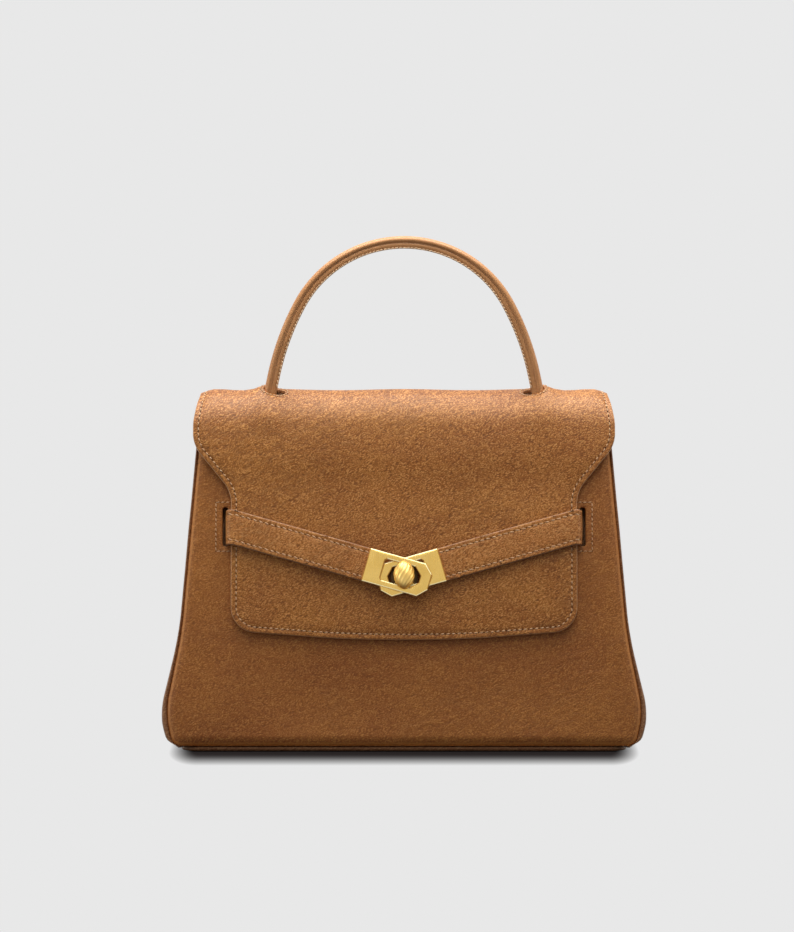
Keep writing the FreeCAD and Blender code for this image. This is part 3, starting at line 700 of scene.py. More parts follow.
@dataclass(frozen=True)
class Seam:
    """A run of slanted saddle stitches with their needle holes."""

    pitch: float = 4.0
    length: float = 3.1
    radius: float = 0.36
    hole: float = 0.42
    slant_deg: float = 11.0
    flatness: float = 0.85
    hole_sink: float = 0.2
    hole_depth: float = 0.35
    feel_along: float = 0.4
    feel_out: float = 0.5

    def steps(self, line: Sequence[Vector], closed: bool) -> List[Tuple[Vector, Vector]]:
        """Evenly spaced points and directions along a line.

        Args:
            line: Points of the line in order.
            closed: Whether the line returns to its start.

        Returns:
            A point and a unit direction for each stitch.
        """
        points = list(line) + ([line[0]] if closed else [])
        runs = [(b - a).length for a, b in zip(points, points[1:])]
        total = sum(runs)
        count = max(1, round(total / self.pitch))
        found = []
        index, passed = 0, 0.0
        for step in range(count):
            target = (step + 0.5) * total / count
            while index < len(runs) - 1 and passed + runs[index] < target:
                passed += runs[index]
                index += 1
            direction = (points[index + 1] - points[index]).normalized()
            found.append((points[index] + direction * (target - passed), direction))
        return found

    def sew(
            self, bm: BMesh, line: Sequence[Vector], place: Place, height: float,
            closed: bool = False) -> None:
        """Sew a line on a bent sheet.

        Args:
            bm: Mesh that gets the stitches.
            line: The line on the flat sheet.
            place: Place of a flat point on the bag.
            height: Height of the thread's middle above the flat sheet.
            closed: Whether the line returns to its start.
        """
        for centre, direction in self.steps(line, closed):
            here = place(centre.x, centre.y, height)
            ahead = centre + direction * self.feel_along
            behind = centre - direction * self.feel_along
            along = (place(ahead.x, ahead.y, height) - place(behind.x, behind.y, height)).normalized()
            out = (place(centre.x, centre.y, height + self.feel_out) - here).normalized()
            self.stitch(bm, here, along, out)

    def stitch(self, bm: BMesh, here: Vector, along: Vector, out: Vector) -> None:
        """One stitch and the needle hole after it, a dark blob of painted shade.

        Args:
            bm: Mesh that gets the stitch.
            here: Middle of the stitch.
            along: Direction of the seam.
            out: Direction out of the leather.
        """
        across = out.cross(along).normalized()
        turned = Matrix((along, across, out)).transposed().to_4x4()
        slant = Matrix.Rotation(math.radians(self.slant_deg), 4, "Z")
        shape = Matrix.Diagonal((self.length / 2, self.radius, self.radius * self.flatness, 1.0))
        where = Matrix.Translation(here) @ turned @ slant @ shape
        bmesh.ops.create_uvsphere(bm, u_segments=6, v_segments=5, radius=1.0, matrix=where)
        if not self.hole:
            return
        spot = here + along * (self.pitch / 2) - out * (self.radius * self.hole_sink)
        hole = Matrix.Translation(spot) @ turned
        flat = Matrix.Diagonal((self.hole, self.hole, self.radius * self.hole_depth, 1.0))
        # A flattened blob in painted shade stands for the hole.
        dark = bmesh.ops.create_icosphere(bm, subdivisions=1, radius=1.0, matrix=hole @ flat)["verts"]
        for face in {face for vert in dark for face in vert.link_faces}:
            face.material_index = 1


def shell(bm: BMesh, thickness: float) -> None:
    """Give an open surface a wall behind its faces.

    Args:
        bm: The surface, with its faces pointing out.
        thickness: Thickness of the wall.
    """
    bm.normal_update()
    moves = [(vert, vert.normal * thickness) for vert in bm.verts]
    bmesh.ops.extrude_face_region(bm, geom=bm.faces[:])
    for vert, move in moves:
        vert.co -= move
    outward(bm)


@dataclass(frozen=True)
class BagForm:
    """The bag's leaning walls, roof fold and panel outline."""

    base_depth: float = 112.0
    top_depth: float = 40.0
    panel_rise: float = 193.0
    panel_thickness: float = 2.0
    base_thickness: float = 3.2
    top_half_width: float = 121.4
    top_radius: float = 5.0
    flare_half_width: float = 132.6
    flare_height: float = 71.0
    flare_radius: float = 200.0
    hip_half_width: float = 142.0
    hip_height: float = 24.0
    hip_radius: float = 45.0
    foot_half_width: float = 137.6
    foot_radius: float = 6.0
    foot_level: float = 3.4
    fold_rise: float = 0.6
    fold_middle: float = 2.3
    lock_drop: float = 91.7
    slot_drop: float = 61.6
    slot_x: float = 106.5
    belly_depth: float = 0.8
    belly_rise: Span = (2.0, 34.0)
    belly_fall: Span = (34.0, 92.0)
    belly_sides: Span = (60.0, 134.0)
    wave_height: float = 0.3
    wave_across: Span = (21.0, 0.9)
    wave_up: Span = (25.0, 0.4)
    slow_wave: Triple = (0.6, 37.0, 19.0)
    calm_lock: Span = (22.0, 60.0)
    calm_edge: Span = (6.0, 30.0)
    calm_foot: Span = (4.0, 26.0)
    calm_top: Span = (150.0, 190.0)

    @cached_property
    def lean(self) -> float:
        """Lean of the panels from upright, in radians."""
        return math.atan2((self.base_depth - self.top_depth) / 2, self.panel_rise)

    @cached_property
    def panel_top(self) -> float:
        """Height of a panel's top edge up its face."""
        return self.panel_rise / math.cos(self.lean)

    @cached_property
    def panel_foot(self) -> float:
        """Height of a panel's bottom edge up its face."""
        return (self.foot_level + self.panel_thickness * math.sin(self.lean)) / math.cos(self.lean)

    @cached_property
    def fold_height(self) -> float:
        """Height up the front where the roof starts to fold over."""
        return self.panel_top + self.fold_rise

    @cached_property
    def fold_reach(self) -> float:
        """Radius of the roof's fold at the panels' outer faces."""
        return (self.base_depth / 2 - self.fold_height * math.sin(self.lean)) / math.cos(self.lean)

    @cached_property
    def fold_level(self) -> float:
        """Height above the floor of the fold's centre line."""
        return self.fold_height * math.cos(self.lean) - self.fold_reach * math.sin(self.lean)

    @cached_property
    def fold_run(self) -> float:
        """Length of leather in the fold."""
        return (self.fold_reach + self.fold_middle) * (math.pi - 2 * self.lean)

    @cached_property
    def lock_height(self) -> float:
        """Height of the lock up the front."""
        return self.panel_top - self.lock_drop

    @cached_property
    def slot_height(self) -> float:
        """Height of the strap slots up the front."""
        return self.panel_top - self.slot_drop

    def front(self, x: float, height: float, offset: float) -> Vector:
        """Point at a height up the front and an offset from its outer face."""
        sine, cosine = math.sin(self.lean), math.cos(self.lean)
        y = height * sine - offset * cosine - self.base_depth / 2
        return Vector((x, y, height * cosine + offset * sine))

    def back(self, x: float, height: float, offset: float) -> Vector:
        """Point at a height up the back and an offset from its outer face."""
        point = self.front(x, height, offset)
        return Vector((x, -point.y, point.z))

    def over(self, x: float, run: float, offset: float) -> Vector:
        """Point on a sheet that runs up the front, over the roof and down the back.

        Args:
            x: Place across the bag.
            run: Length of sheet from the front panel's foot.
            offset: Offset from the panels' outer faces.

        Returns:
            The point.
        """
        past = run - self.fold_height
        if past <= 0:
            return self.front(x, run, offset)
        if past >= self.fold_run:
            return self.back(x, self.fold_height - past + self.fold_run, offset)
        turn = math.pi - self.lean - past / (self.fold_reach + self.fold_middle)
        radius = self.fold_reach + offset
        return Vector((x, radius * math.cos(turn), self.fold_level + radius * math.sin(turn)))

    def wall_y(self, level: float, offset: float) -> float:
        """Depth of the front wall at a height above the floor and an offset from its face."""
        return (level * math.sin(self.lean) - offset) / math.cos(self.lean) - self.base_depth / 2

    def panel_corners(self) -> List[Corner]:
        """Outline of a front or back panel."""
        return both_sides([
            (self.top_half_width, self.panel_top, self.top_radius),
            (self.flare_half_width, self.flare_height, self.flare_radius),
            (self.hip_half_width, self.hip_height, self.hip_radius),
            (self.foot_half_width, self.panel_foot, self.foot_radius),
        ])

    @cached_property
    def edge_table(self) -> List[Span]:
        """Half widths by height, read off a panel's rounded outline."""
        outline = Sheet(self.panel_corners(), segments=10)
        table = sorted((vert.co.y, vert.co.x) for vert in outline.bm.verts if vert.co.x > 0)
        outline.bm.free()
        return table

    def half_width(self, height: float) -> float:
        """Half width of a panel at a height up its face."""
        return along_table(self.edge_table, height)

    def swell(self, x: float, height: float) -> float:
        """How far the soft front leaves its plane: a hollow belly low down and slow waves above.

        Args:
            x: Place across the bag.
            height: Height up the front.

        Returns:
            The offset in millimetres.
        """
        belly = ease(*self.belly_rise, height) * (1.0 - ease(*self.belly_fall, height))
        belly *= 1.0 - ease(*self.belly_sides, abs(x))
        calm = ease(*self.calm_lock, math.hypot(x, height - self.lock_height))
        calm *= ease(*self.calm_edge, self.half_width(height) - abs(x)) * ease(*self.calm_foot, height)
        calm *= 1.0 - ease(*self.calm_top, height)
        across, up = self.wave_across, self.wave_up
        share, slow_x, slow_up = self.slow_wave
        waves = math.sin(x / across[0] + across[1]) * math.sin(height / up[0] + up[1])
        waves += share * math.sin(x / slow_x - height / slow_up)
        return -self.belly_depth * belly + self.wave_height * waves * calm


FORM = BagForm()


@dataclass
class BagBody:
    """The bag's outer panels, side walls, base, mouth and lining."""

    form: BagForm = FORM
    edge_round: float = 0.5
    front_edge: Span = (1.9, 5.0)
    back_edge: Span = (0.8, 3.4)
    highlight_border_lean: float = 0.96
    # Upright share below which the front's border faces take the painted highlight.
    back_swell: float = 0.7
    skin_gap: float = 0.05
    patch_margin: float = 6.0
    patch_radius: float = 4.0
    patch_thickness: float = 1.1
    slot_radius: float = 1.85
    slot_run: float = 10.05
    slot_seam_side: float = 5.7
    slot_seam_end: float = 14.7
    gusset_wall: float = 1.4
    gusset_foot: float = 2.8
    gusset_top: float = 190.0
    gusset_grid: Tuple[int, int] = (44, 56)
    gusset_crowding: float = 1.35
    strip_table: Table = (
        (0.6, 2.4), (6.0, 3.4), (16.0, 3.8), (27.0, 3.2), (37.0, 2.6), (56.0, 1.9), (86.0, 1.4),
        (133.0, 1.7), (190.0, 1.1))
    fold_table: Table = (
        (1.0, 0.4), (9.6, 2.2), (20.7, 2.6), (41.2, 1.7), (67.2, 0.6), (106.3, -1.3), (149.0, -4.8),
        (190.0, -9.3))
    base_half_length: float = 132.5
    base_half_depth: float = 53.0
    base_radius: float = 12.0
    base_rounding: float = 1.3
    base_seam_margin: float = 6.0
    base_seam_sink: float = 0.42
    band_half_length: float = 114.6
    band_height: float = 8.0
    band_thickness: float = 3.6
    band_radius: float = 1.5
    lining_levels: Tuple[float, ...] = (
        6.6, 7.6, 10.5, 16.0, 30.0, 50.0, 75.0, 100.0, 125.0, 150.0, 170.0, 184.0, 190.5)
    lining_segments: int = 96
    lining_corner: float = 0.2
    lining_wall: float = 0.5
    lining_sag: float = 0.7
    sag_wave: float = 17.0
    sag_twist: float = 3.0
    sag_rise: Span = (12.0, 60.0)
    sag_fall: Span = (120.0, 180.0)
    lining_side_gap: float = 7.8
    lining_front_offset: float = -6.4
    lining_back_offset: float = -3.0

    def on_front(self, x: float, height: float, lift: float) -> Vector:
        """Place of a flat front panel's point."""
        return self.form.front(x, height, lift + self.form.swell(x, height))

    def on_back(self, x: float, height: float, lift: float) -> Vector:
        """Place of a flat back panel's point."""
        return self.form.back(x, height, lift + self.back_swell * self.form.swell(-x, height))

    def build(self) -> None:
        """Build and dress every piece of the body."""
        self.front_panel()
        self.back_panel()
        for side in Side:
            self.gusset(side)
            self.slot_patch(side)
        self.base()
        self.mouth_band()
        self.lining()
        self.slot_seams()
        self.dress()

    def front_panel(self) -> None:
        """Front panel with a slot for each strap."""
        sheet = Sheet(self.form.panel_corners(), segments=10)
        sheet.soft_edge(*self.front_edge)
        sheet.grid(6.0, 6.0)
        for side in Side:
            centre = (side.value * self.form.slot_x, self.form.slot_height)
            sheet.pierce(centre, self.slot_radius, (0.0, self.slot_run), 2.6)
        # The curved border's faces take the lighter second finish, a painted highlight.
        sheet.thicken(self.form.panel_thickness, self.edge_round, lean=self.highlight_border_lean)
        bm = sheet.bend(self.on_front)
        finishes = (PANEL_LEATHER_IN_SHADE, PANEL_BORDER_HIGHLIGHT)
        Piece("front_skin", finishes, Slot.BODY, Body.BAG, replaced=("front_panel",)).add(bm)

    def back_panel(self) -> None:
        """Plain back panel."""
        sheet = Sheet(self.form.panel_corners(), segments=10)
        sheet.soft_edge(*self.back_edge)
        sheet.grid(7.0, 7.0)
        sheet.thicken(self.form.panel_thickness, self.edge_round)
        bm = sheet.bend(self.on_back)
        outward(bm)
        finishes = (PANEL_LEATHER_IN_SHADE, PANEL_BORDER_HIGHLIGHT)
        Piece("back_skin", finishes, Slot.BODY, Body.BAG, replaced=("back_panel",)).add(bm)

    def gusset_point(self, across: float, up: float) -> Vector:
        """Point of the right side wall.

        Args:
            across: Share of the way from the front seam to the back seam.
            up: Share of the way from the foot to the mouth.

        Returns:
            The point on the wall's outer face.
        """
        level = self.gusset_foot + up * (self.gusset_top - self.gusset_foot)
        edge = self.form.half_width(level / math.cos(self.form.lean))
        strip = along_table(self.strip_table, level)
        fold = along_table(self.fold_table, level)
        face = self.form.wall_y(level, 0.0)
        half = -face
        near = min(across, 1.0 - across)
        roll = (
            (0.0, -2.4, 4.4), (0.04, -0.7, 3.1), (0.075, 0.5, 2.2), (0.115, 0.35 + strip * 0.55, 1.6),
            (0.155, strip * 0.9, 2.6), (0.2, strip, 5.0), (0.25, strip * 0.98, 8.5))
        rest = ((0.34, 0.7, 0.42), (0.42, 0.25, 0.72), (0.5, 0.0, 1.0))
        outs = [(share, out) for share, out, _ in roll]
        outs += [(share, strip * keep + fold * (1.0 - keep)) for share, keep, _ in rest]
        deeps = [(share, deep) for share, _, deep in roll] + [(share, half * deep) for share, _, deep in rest]
        y = face + along_table(deeps, near)
        return Vector((edge + along_table(outs, near), y if across <= 0.5 else -y, level))

    def gusset(self, side: Side) -> None:
        """Side wall rolled out beside both seams and folded in at the mouth."""
        bm = bmesh.new()
        columns, rows = self.gusset_grid
        bmesh.ops.create_grid(bm, x_segments=columns, y_segments=rows, size=0.5)
        for vert in bm.verts:
            up = (vert.co.y + 0.5) ** self.gusset_crowding
            vert.co = self.gusset_point(vert.co.x + 0.5, up)
        for _ in range(2):
            inner = [vert for vert in bm.verts if not vert.is_boundary]
            bmesh.ops.smooth_vert(
                bm, verts=inner, factor=0.5, use_axis_x=True, use_axis_y=True, use_axis_z=True)
        bm.normal_update()
        flank = Vector((self.form.flare_half_width, 0.0, self.form.flare_height))
        middle = min(bm.faces, key=lambda face: (face.calc_center_median() - flank).length)
        if middle.normal.x < 0:
            turn_over(bm)
        shell(bm, self.gusset_wall)
        if side is Side.LEFT:
            bmesh.ops.scale(bm, vec=(-1.0, 1.0, 1.0), verts=bm.verts)
            turn_over(bm)
        name = side.name.lower()
        Piece(name + "_side_wall", (SIDE_LEATHER_AND_BASE_SHADE,), Slot.BODY, Body.BAG, replaced=(name + "_gusset",)).add(bm)

    def slot_patch(self, side: Side) -> None:
        """Patch behind the panel that stiffens a strap slot."""
        x, height = side.value * self.form.slot_x, self.form.slot_height
        wide = self.slot_radius + self.patch_margin
        sheet = Sheet(rectangle((x, height), wide, wide + self.slot_run, self.patch_radius))
        sheet.grid(6.0, 8.0)
        sheet.pierce((x, height), self.slot_radius, (0.0, self.slot_run), 2.0)
        sheet.thicken(self.patch_thickness, 0.3, 2)
        inside = self.form.panel_thickness + self.skin_gap
        bm = sheet.bend(lambda a, b, lift: self.on_front(a, b, lift - inside))
        name = side.name.lower() + "_slot_patch"
        Piece(name + "_leather", (BODY_LEATHER, EDGE_PAINT_AND_HIGHLIGHT), Slot.BODY, Body.BAG, replaced=(name,)).add(bm)

    def base(self) -> None:
        """Base leather with a rounded lower edge and a seam round it."""
        corners = rectangle((0.0, 0.0), self.base_half_length, self.base_half_depth, self.base_radius)
        sheet = Sheet(corners, segments=8)
        line = sheet.sewn_hem(self.base_seam_margin)
        sheet.grid(12.0, 12.0)
        sheet.thicken(self.form.base_thickness, self.base_rounding)

        def place(x: float, y: float, lift: float) -> Vector:
            """The base is cut with its outer face up and lies with that face down."""
            return Vector((x, -y, max(0.0, -lift)))

        bm = sheet.bend(place)
        # The base takes the darker side leather as a painted shade under the bag.
        finishes = (SIDE_LEATHER_AND_BASE_SHADE, SIDE_LEATHER_AND_BASE_SHADE)
        Piece("base_skin", finishes, Slot.BODY, Body.BAG, replaced=("base_panel",)).add(bm)
        stitches = bmesh.new()
        sunk = self.base_seam_sink
        Seam(pitch=4.4).sew(stitches, line, lambda x, y, lift: Vector((x, -y, sunk - lift)), 0.0, closed=True)
        Piece("base_seam", (THREAD, NEEDLE_HOLE_SHADE), Slot.BODY, Body.BAG).add(stitches)

    def mouth_band(self) -> None:
        """Band that closes the front's top edge."""
        a, top = self.band_half_length, self.form.panel_top
        low, radius = top - self.band_height, self.band_radius
        sheet = Sheet([(a, top, radius), (a, low, radius), (-a, low, radius), (-a, top, radius)])
        sheet.grid(8.0, 4.0)
        sheet.thicken(self.band_thickness, 0.7)
        inside = self.form.panel_thickness + self.skin_gap
        bm = sheet.bend(lambda x, y, lift: self.form.front(x, y, lift - inside))
        finishes = (BODY_LEATHER, EDGE_PAINT_AND_HIGHLIGHT)
        Piece("mouth_binding", finishes, Slot.BODY, Body.BAG, replaced=("front_mouth_band",)).add(bm)

    def lining_ring(self, level: float, turn: float) -> Vector:
        """Point of the lining at a height and a turn round the bag's middle."""
        form = self.form
        wide = form.half_width(level / math.cos(form.lean)) - self.lining_side_gap
        front = form.wall_y(level, self.lining_front_offset)
        back = -form.wall_y(level, self.lining_back_offset)
        cosine, sine = math.cos(turn), math.sin(turn)
        x = math.copysign(abs(cosine) ** self.lining_corner, cosine)
        y = math.copysign(abs(sine) ** self.lining_corner, sine)
        pinch = max(0.0, -along_table(self.fold_table, level)) * (1.0 - y * y)
        sag = self.lining_sag * math.sin(level / self.sag_wave + self.sag_twist * x)
        sag *= ease(*self.sag_rise, level) * (1.0 - ease(*self.sag_fall, level))
        deep = (back - front) / 2 - max(0.0, sag)
        return Vector((x * (wide - pinch), (front + back) / 2 + y * deep, level))

    def lining(self) -> None:
        """Loose lining lofted from the floor to the mouth."""
        def spot(vert: bmesh.types.BMVert) -> Tuple[float, ...]:
            """A vertex's place, rounded, which finds it again after it is carried up."""
            return tuple(round(part, 4) for part in vert.co)

        bm = bmesh.new()
        ring = bmesh.ops.create_circle(bm, cap_ends=True, segments=self.lining_segments, radius=1.0)["verts"]
        turns = {vert: math.atan2(vert.co.y, vert.co.x) for vert in ring}
        edges = bm.edges[:]
        for vert, turn in turns.items():
            vert.co = self.lining_ring(self.lining_levels[0], turn)
        for level in self.lining_levels[1:]:
            past = {spot(vert): turn for vert, turn in turns.items()}
            geometry = bmesh.ops.extrude_edge_only(bm, edges=edges)["geom"]
            edges = only(geometry, bmesh.types.BMEdge)
            turns = {vert: past[spot(vert)] for vert in only(geometry, bmesh.types.BMVert)}
            for vert, turn in turns.items():
                vert.co = self.lining_ring(level, turn)
        outward(bm)
        floor = max(bm.faces, key=lambda face: len(face.verts))
        if floor.normal.z < 0:
            turn_over(bm)
        shell(bm, self.lining_wall)
        nodes = ("front_lining", "back_lining", "left_gusset_lining", "right_gusset_lining", "base_lining")
        Piece("inner_lining", (LINING_SUEDE,), Slot.LINING, Body.BAG, replaced=nodes).add(bm)

    def slot_seams(self) -> None:
        """Seam round each strap slot."""
        bm = bmesh.new()
        seam = Seam(pitch=2.9, length=2.2, radius=0.3, hole=0.34)
        for side in Side:
            centre = (side.value * self.form.slot_x, self.form.slot_height)
            corners = rectangle(centre, self.slot_seam_side, self.slot_seam_end, 0.0)
            seam.sew(bm, [Vector(corner) for corner in corners], self.on_front, 0.08, closed=True)
        Piece("slot_seams", (THREAD, NEEDLE_HOLE_SHADE), Slot.BODY, Body.BAG).add(bm)

    def dress(self) -> None:
        """Finish the CAD pieces that stay inside the body."""
        dress_node("base_board", BOARD)


def dress_node(node: str, finish: object) -> None:
    """Give a CAD node a finish."""
    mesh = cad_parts[node].data
    mesh.materials.clear()
    mesh.materials.append(PAINTS.get(finish))
    LOG.info("%s: dressed", node)


@dataclass
class Flap:
    """The flap from its point over the roof to its tail on the back, with its lining and bound hole."""

    form: BagForm = FORM
    outer: float = 3.4
    middle: float = 1.2
    inner: float = 0.4
    half_width: float = 126.0
    crest_half_width: float = 121.6
    tail_half_width: float = 124.4
    shoulder_drop: float = 12.8
    neck_drop: float = 40.8
    shoulder_radius: float = 18.0
    tongue_half_width: float = 103.2
    corner_drop: float = 124.3
    corner_radius: float = 15.0
    point_drop: float = 132.1
    bow_radius: float = 700.0
    tail_length: float = 41.8
    tail_radius: float = 12.0
    seam_margin: float = 3.2
    hole_half_width: float = 9.5
    hole_above: float = 9.3
    hole_below: float = 10.8
    binding: float = 1.2
    binding_lap: float = 0.8
    binding_stand: float = 0.4
    binding_round: float = 0.45
    leg_x: float = 79.2
    leg_forward: float = 6.0
    leg_hole: float = 4.9
    leg_hole_run: float = 1.6
    leg_hole_inward: float = 1.5
    leg_seam_margin: float = 1.7
    mound: float = 2.4
    mound_reach: float = 5.6
    mound_out: float = 4.6
    mound_on: float = 2.0
    mound_stretch: float = 1.3
    end_droop: float = 3.0
    end_span: Span = (111.0, 125.0)
    end_power: float = 1.5
    roof_sag: float = 0.7
    side_sag: float = 0.8
    side_rise: Span = (84.0, 97.0)
    side_fall: Span = (97.0, 112.0)
    bulge: float = 0.9
    bulge_low: float = 40.0
    bulge_high: float = 18.0
    bulge_fall: Span = (-0.4, 0.3)
    shoulder: float = 1.4
    shoulder_rise: Span = (-0.2, 0.22)
    shoulder_fall: Span = (0.32, 0.62)
    held_out: float = 3.0
    held_reach: float = 9.0
    board_half_length: float = 112.0
    board_edge: float = 4.0
    board_give: float = 0.8
    lining_gap: float = 0.03
    lining_inset: float = 1.5
    hinge: Vector = field(default_factory=lambda: Vector((0.0, 23.232, 194.213)))
    hinge_slope: Vector = field(default_factory=lambda: Vector((0.0, -1.0, 0.3)))
    hinge_reach: float = 4.0

    @cached_property
    def bend(self) -> Bend:
        """The flap's turn about the top of the back."""
        along = self.hinge_slope.normalized() * self.hinge_reach
        return Bend(Body.BAG, Body.FLAP, self.hinge - along, self.hinge + along)

    @cached_property
    def hole_middle(self) -> float:
        """Height of the middle of the knob's hole."""
        return self.form.lock_height + (self.hole_above - self.hole_below) / 2

    @cached_property
    def hole_straight(self) -> float:
        """Half length of the straight sides of the knob's hole."""
        return (self.hole_above + self.hole_below) / 2 - self.hole_half_width

    @cached_property
    def leg_run(self) -> float:
        """Run of the flap's leather to the handle's legs."""
        turn = math.acos(-self.leg_forward / (self.form.fold_reach + self.outer))
        share = math.pi - self.form.lean - turn
        return self.form.fold_height + share * (self.form.fold_reach + self.form.fold_middle)

    def leg_centre(self, side: Side) -> Span:
        """Middle of a leg hole on the flat leather."""
        return side.value * (self.leg_x - self.leg_hole_inward), self.leg_run

    def offset(self, x: float, run: float) -> float:
        """How far the soft flap stands off its plain form: belly, mounds at the legs and drooping roof ends.

        Args:
            x: Place across the bag.
            run: Run of the leather.

        Returns:
            The offset in millimetres.
        """
        past = (run - self.form.fold_height) / self.form.fold_run
        top = self.form.panel_top
        lift = self.form.swell(x, run) if past < 0 else 0.0
        bulging = ease(top - self.bulge_low, top - self.bulge_high, run)
        lift += self.bulge * bulging * (1.0 - ease(*self.bulge_fall, past))
        held = math.exp(-((abs(x) - self.leg_x - self.held_out) / self.held_reach) ** 2)
        rounded = ease(*self.shoulder_rise, past)
        lift -= self.shoulder * (1.0 - held) * rounded * (1.0 - ease(*self.shoulder_fall, past))
        if 0 < past < 1:
            crown = math.sin(math.pi * past)
            beside = ease(*self.side_rise, abs(x))
            lift -= self.end_droop * crown * ease(*self.end_span, abs(x)) ** self.end_power
            lift -= self.roof_sag * crown * math.sin(math.pi * min(1.0, abs(x) / self.leg_x)) ** 2
            lift -= self.side_sag * crown * beside * (1.0 - ease(*self.side_fall, abs(x)))
        aside = abs(x) - self.leg_x - self.mound_out
        reach = math.hypot(aside, (run - self.leg_run - self.mound_on) / self.mound_stretch)
        lift += self.mound * math.exp(-(reach / self.mound_reach) ** 2)
        return lift

    def place(self, x: float, run: float, lift: float) -> Vector:
        """Place of a point of the flat leather."""
        return self.form.over(x, run, self.outer + lift + self.offset(x, run))

    def place_lining(self, x: float, run: float, lift: float) -> Vector:
        """Place of a point of the flat lining, which the board under the roof holds up."""
        past_board = ease(self.board_half_length - self.board_edge, self.board_half_length, abs(x))
        offset = max(self.offset(x, run), -self.board_give - self.end_droop * past_board)
        return self.form.over(x, run, self.middle - self.lining_gap + lift + offset)

    def corners(self, inset: float, tail: bool) -> List[Corner]:
        """Outline of the flat flap.

        Args:
            inset: Distance to draw the outline in.
            tail: Whether it runs on over the hinge to the tail's end.

        Returns:
            The outline's corners.
        """
        form = self.form
        hinge_run = form.fold_height + form.fold_run
        half = [(self.tail_half_width - inset, hinge_run - 1.5, 0.0)]
        if tail:
            end = hinge_run + self.tail_length
            half = [(self.tail_half_width, end, self.tail_radius), (self.tail_half_width, hinge_run, 40.0)]
        half += [
            (self.crest_half_width - inset, form.fold_height + form.fold_run / 2, 60.0),
            (self.half_width - inset, form.fold_height, 30.0),
            (self.half_width - inset, form.panel_top - self.shoulder_drop, self.shoulder_radius),
            (self.tongue_half_width - inset, form.panel_top - self.neck_drop, self.shoulder_radius),
            (self.tongue_half_width - inset, form.panel_top - self.corner_drop + inset, self.corner_radius),
            (0.0, form.panel_top - self.point_drop + inset, self.bow_radius),
        ]
        return both_sides(half)

    def open_holes(self, sheet: Sheet) -> None:
        """Open the knob's hole and the two leg holes in a flat sheet."""
        radius = self.hole_half_width + self.binding
        sheet.pierce((0.0, self.hole_middle), radius, (0.0, self.hole_straight), 4.0)
        for side in Side:
            sheet.pierce(self.leg_centre(side), self.leg_hole, (self.leg_hole_run, 0.0), 3.0)

    def build(self) -> None:
        """Build and dress every piece of the flap."""
        seam = self.leather()
        self.lining()
        self.bound_hole()
        self.seams(seam)
        dress_node("roof_board", BOARD)

    def leather(self) -> List[Vector]:
        """The outer leather in one sheet, from its point to the tail on the back."""
        sheet = Sheet(self.corners(0.0, True), segments=10)
        line = sheet.sewn_hem(self.seam_margin)
        sheet.grid(6.0, 4.0)
        self.open_holes(sheet)
        sheet.thicken(self.outer - self.middle, 0.6)
        bm = sheet.bend(self.place)
        nodes = ("flap_leather", "flap_tail")
        Piece("flap_skin", (BODY_LEATHER, EDGE_PAINT_AND_HIGHLIGHT), Slot.BODY, bend=self.bend, replaced=nodes).add(bm)
        return line

    def lining(self) -> None:
        """Suede lining under the flap, from its point to the hinge."""
        sheet = Sheet(self.corners(self.lining_inset, False), segments=8)
        sheet.grid(7.0, 5.0)
        self.open_holes(sheet)
        sheet.thicken(self.middle - self.inner - 0.05, 0.2, 2)
        bm = sheet.bend(self.place_lining)
        Piece("flap_suede", (LINING_SUEDE, LINING_SUEDE), Slot.LINING, bend=self.bend,
              replaced=("flap_lining",)).add(bm)

    def bound_hole(self) -> None:
        """Leather binding round the knob's hole."""
        bm = bmesh.new()
        centre, straight = (0.0, self.hole_middle), (0.0, self.hole_straight)
        inner = oval(bm, centre, self.hole_half_width, straight)
        outer = oval(bm, centre, self.hole_half_width + self.binding + self.binding_lap, straight)
        bmesh.ops.bridge_loops(bm, edges=inner + outer)
        deepen(bm, self.outer - self.inner + self.binding_stand)
        round_off(bm, rims(bm), self.binding_round, 3)
        for vert in bm.verts:
            vert.co = self.place(vert.co.x, vert.co.y, vert.co.z + self.binding_stand)
        Piece("flap_hole_binding", (BODY_LEATHER,), Slot.BODY, Body.FLAP, replaced=("flap_eyelet",)).add(bm)

    def seams(self, line: Sequence[Vector]) -> None:
        """Seam round the flap's edge and round each leg hole."""
        bm = bmesh.new()
        Seam(pitch=3.3, length=2.0, radius=0.38, hole=0.45).sew(bm, line, self.place, -0.05, closed=True)
        high = self.leg_hole + self.leg_seam_margin
        wide = high + self.leg_hole_run
        turns = [math.tau * step / 24 for step in range(24)]
        leg_seam = Seam(pitch=2.1, length=1.7, radius=0.36, hole=0.2)
        for side in Side:
            centre = Vector((*self.leg_centre(side), 0.0))
            ring = [centre + Vector((wide * math.cos(turn), high * math.sin(turn), 0.0)) for turn in turns]
            leg_seam.sew(bm, ring, self.place, 0.2, closed=True)
        Piece("flap_seams", (THREAD, NEEDLE_HOLE_SHADE), Slot.BODY, bend=self.bend).add(bm)


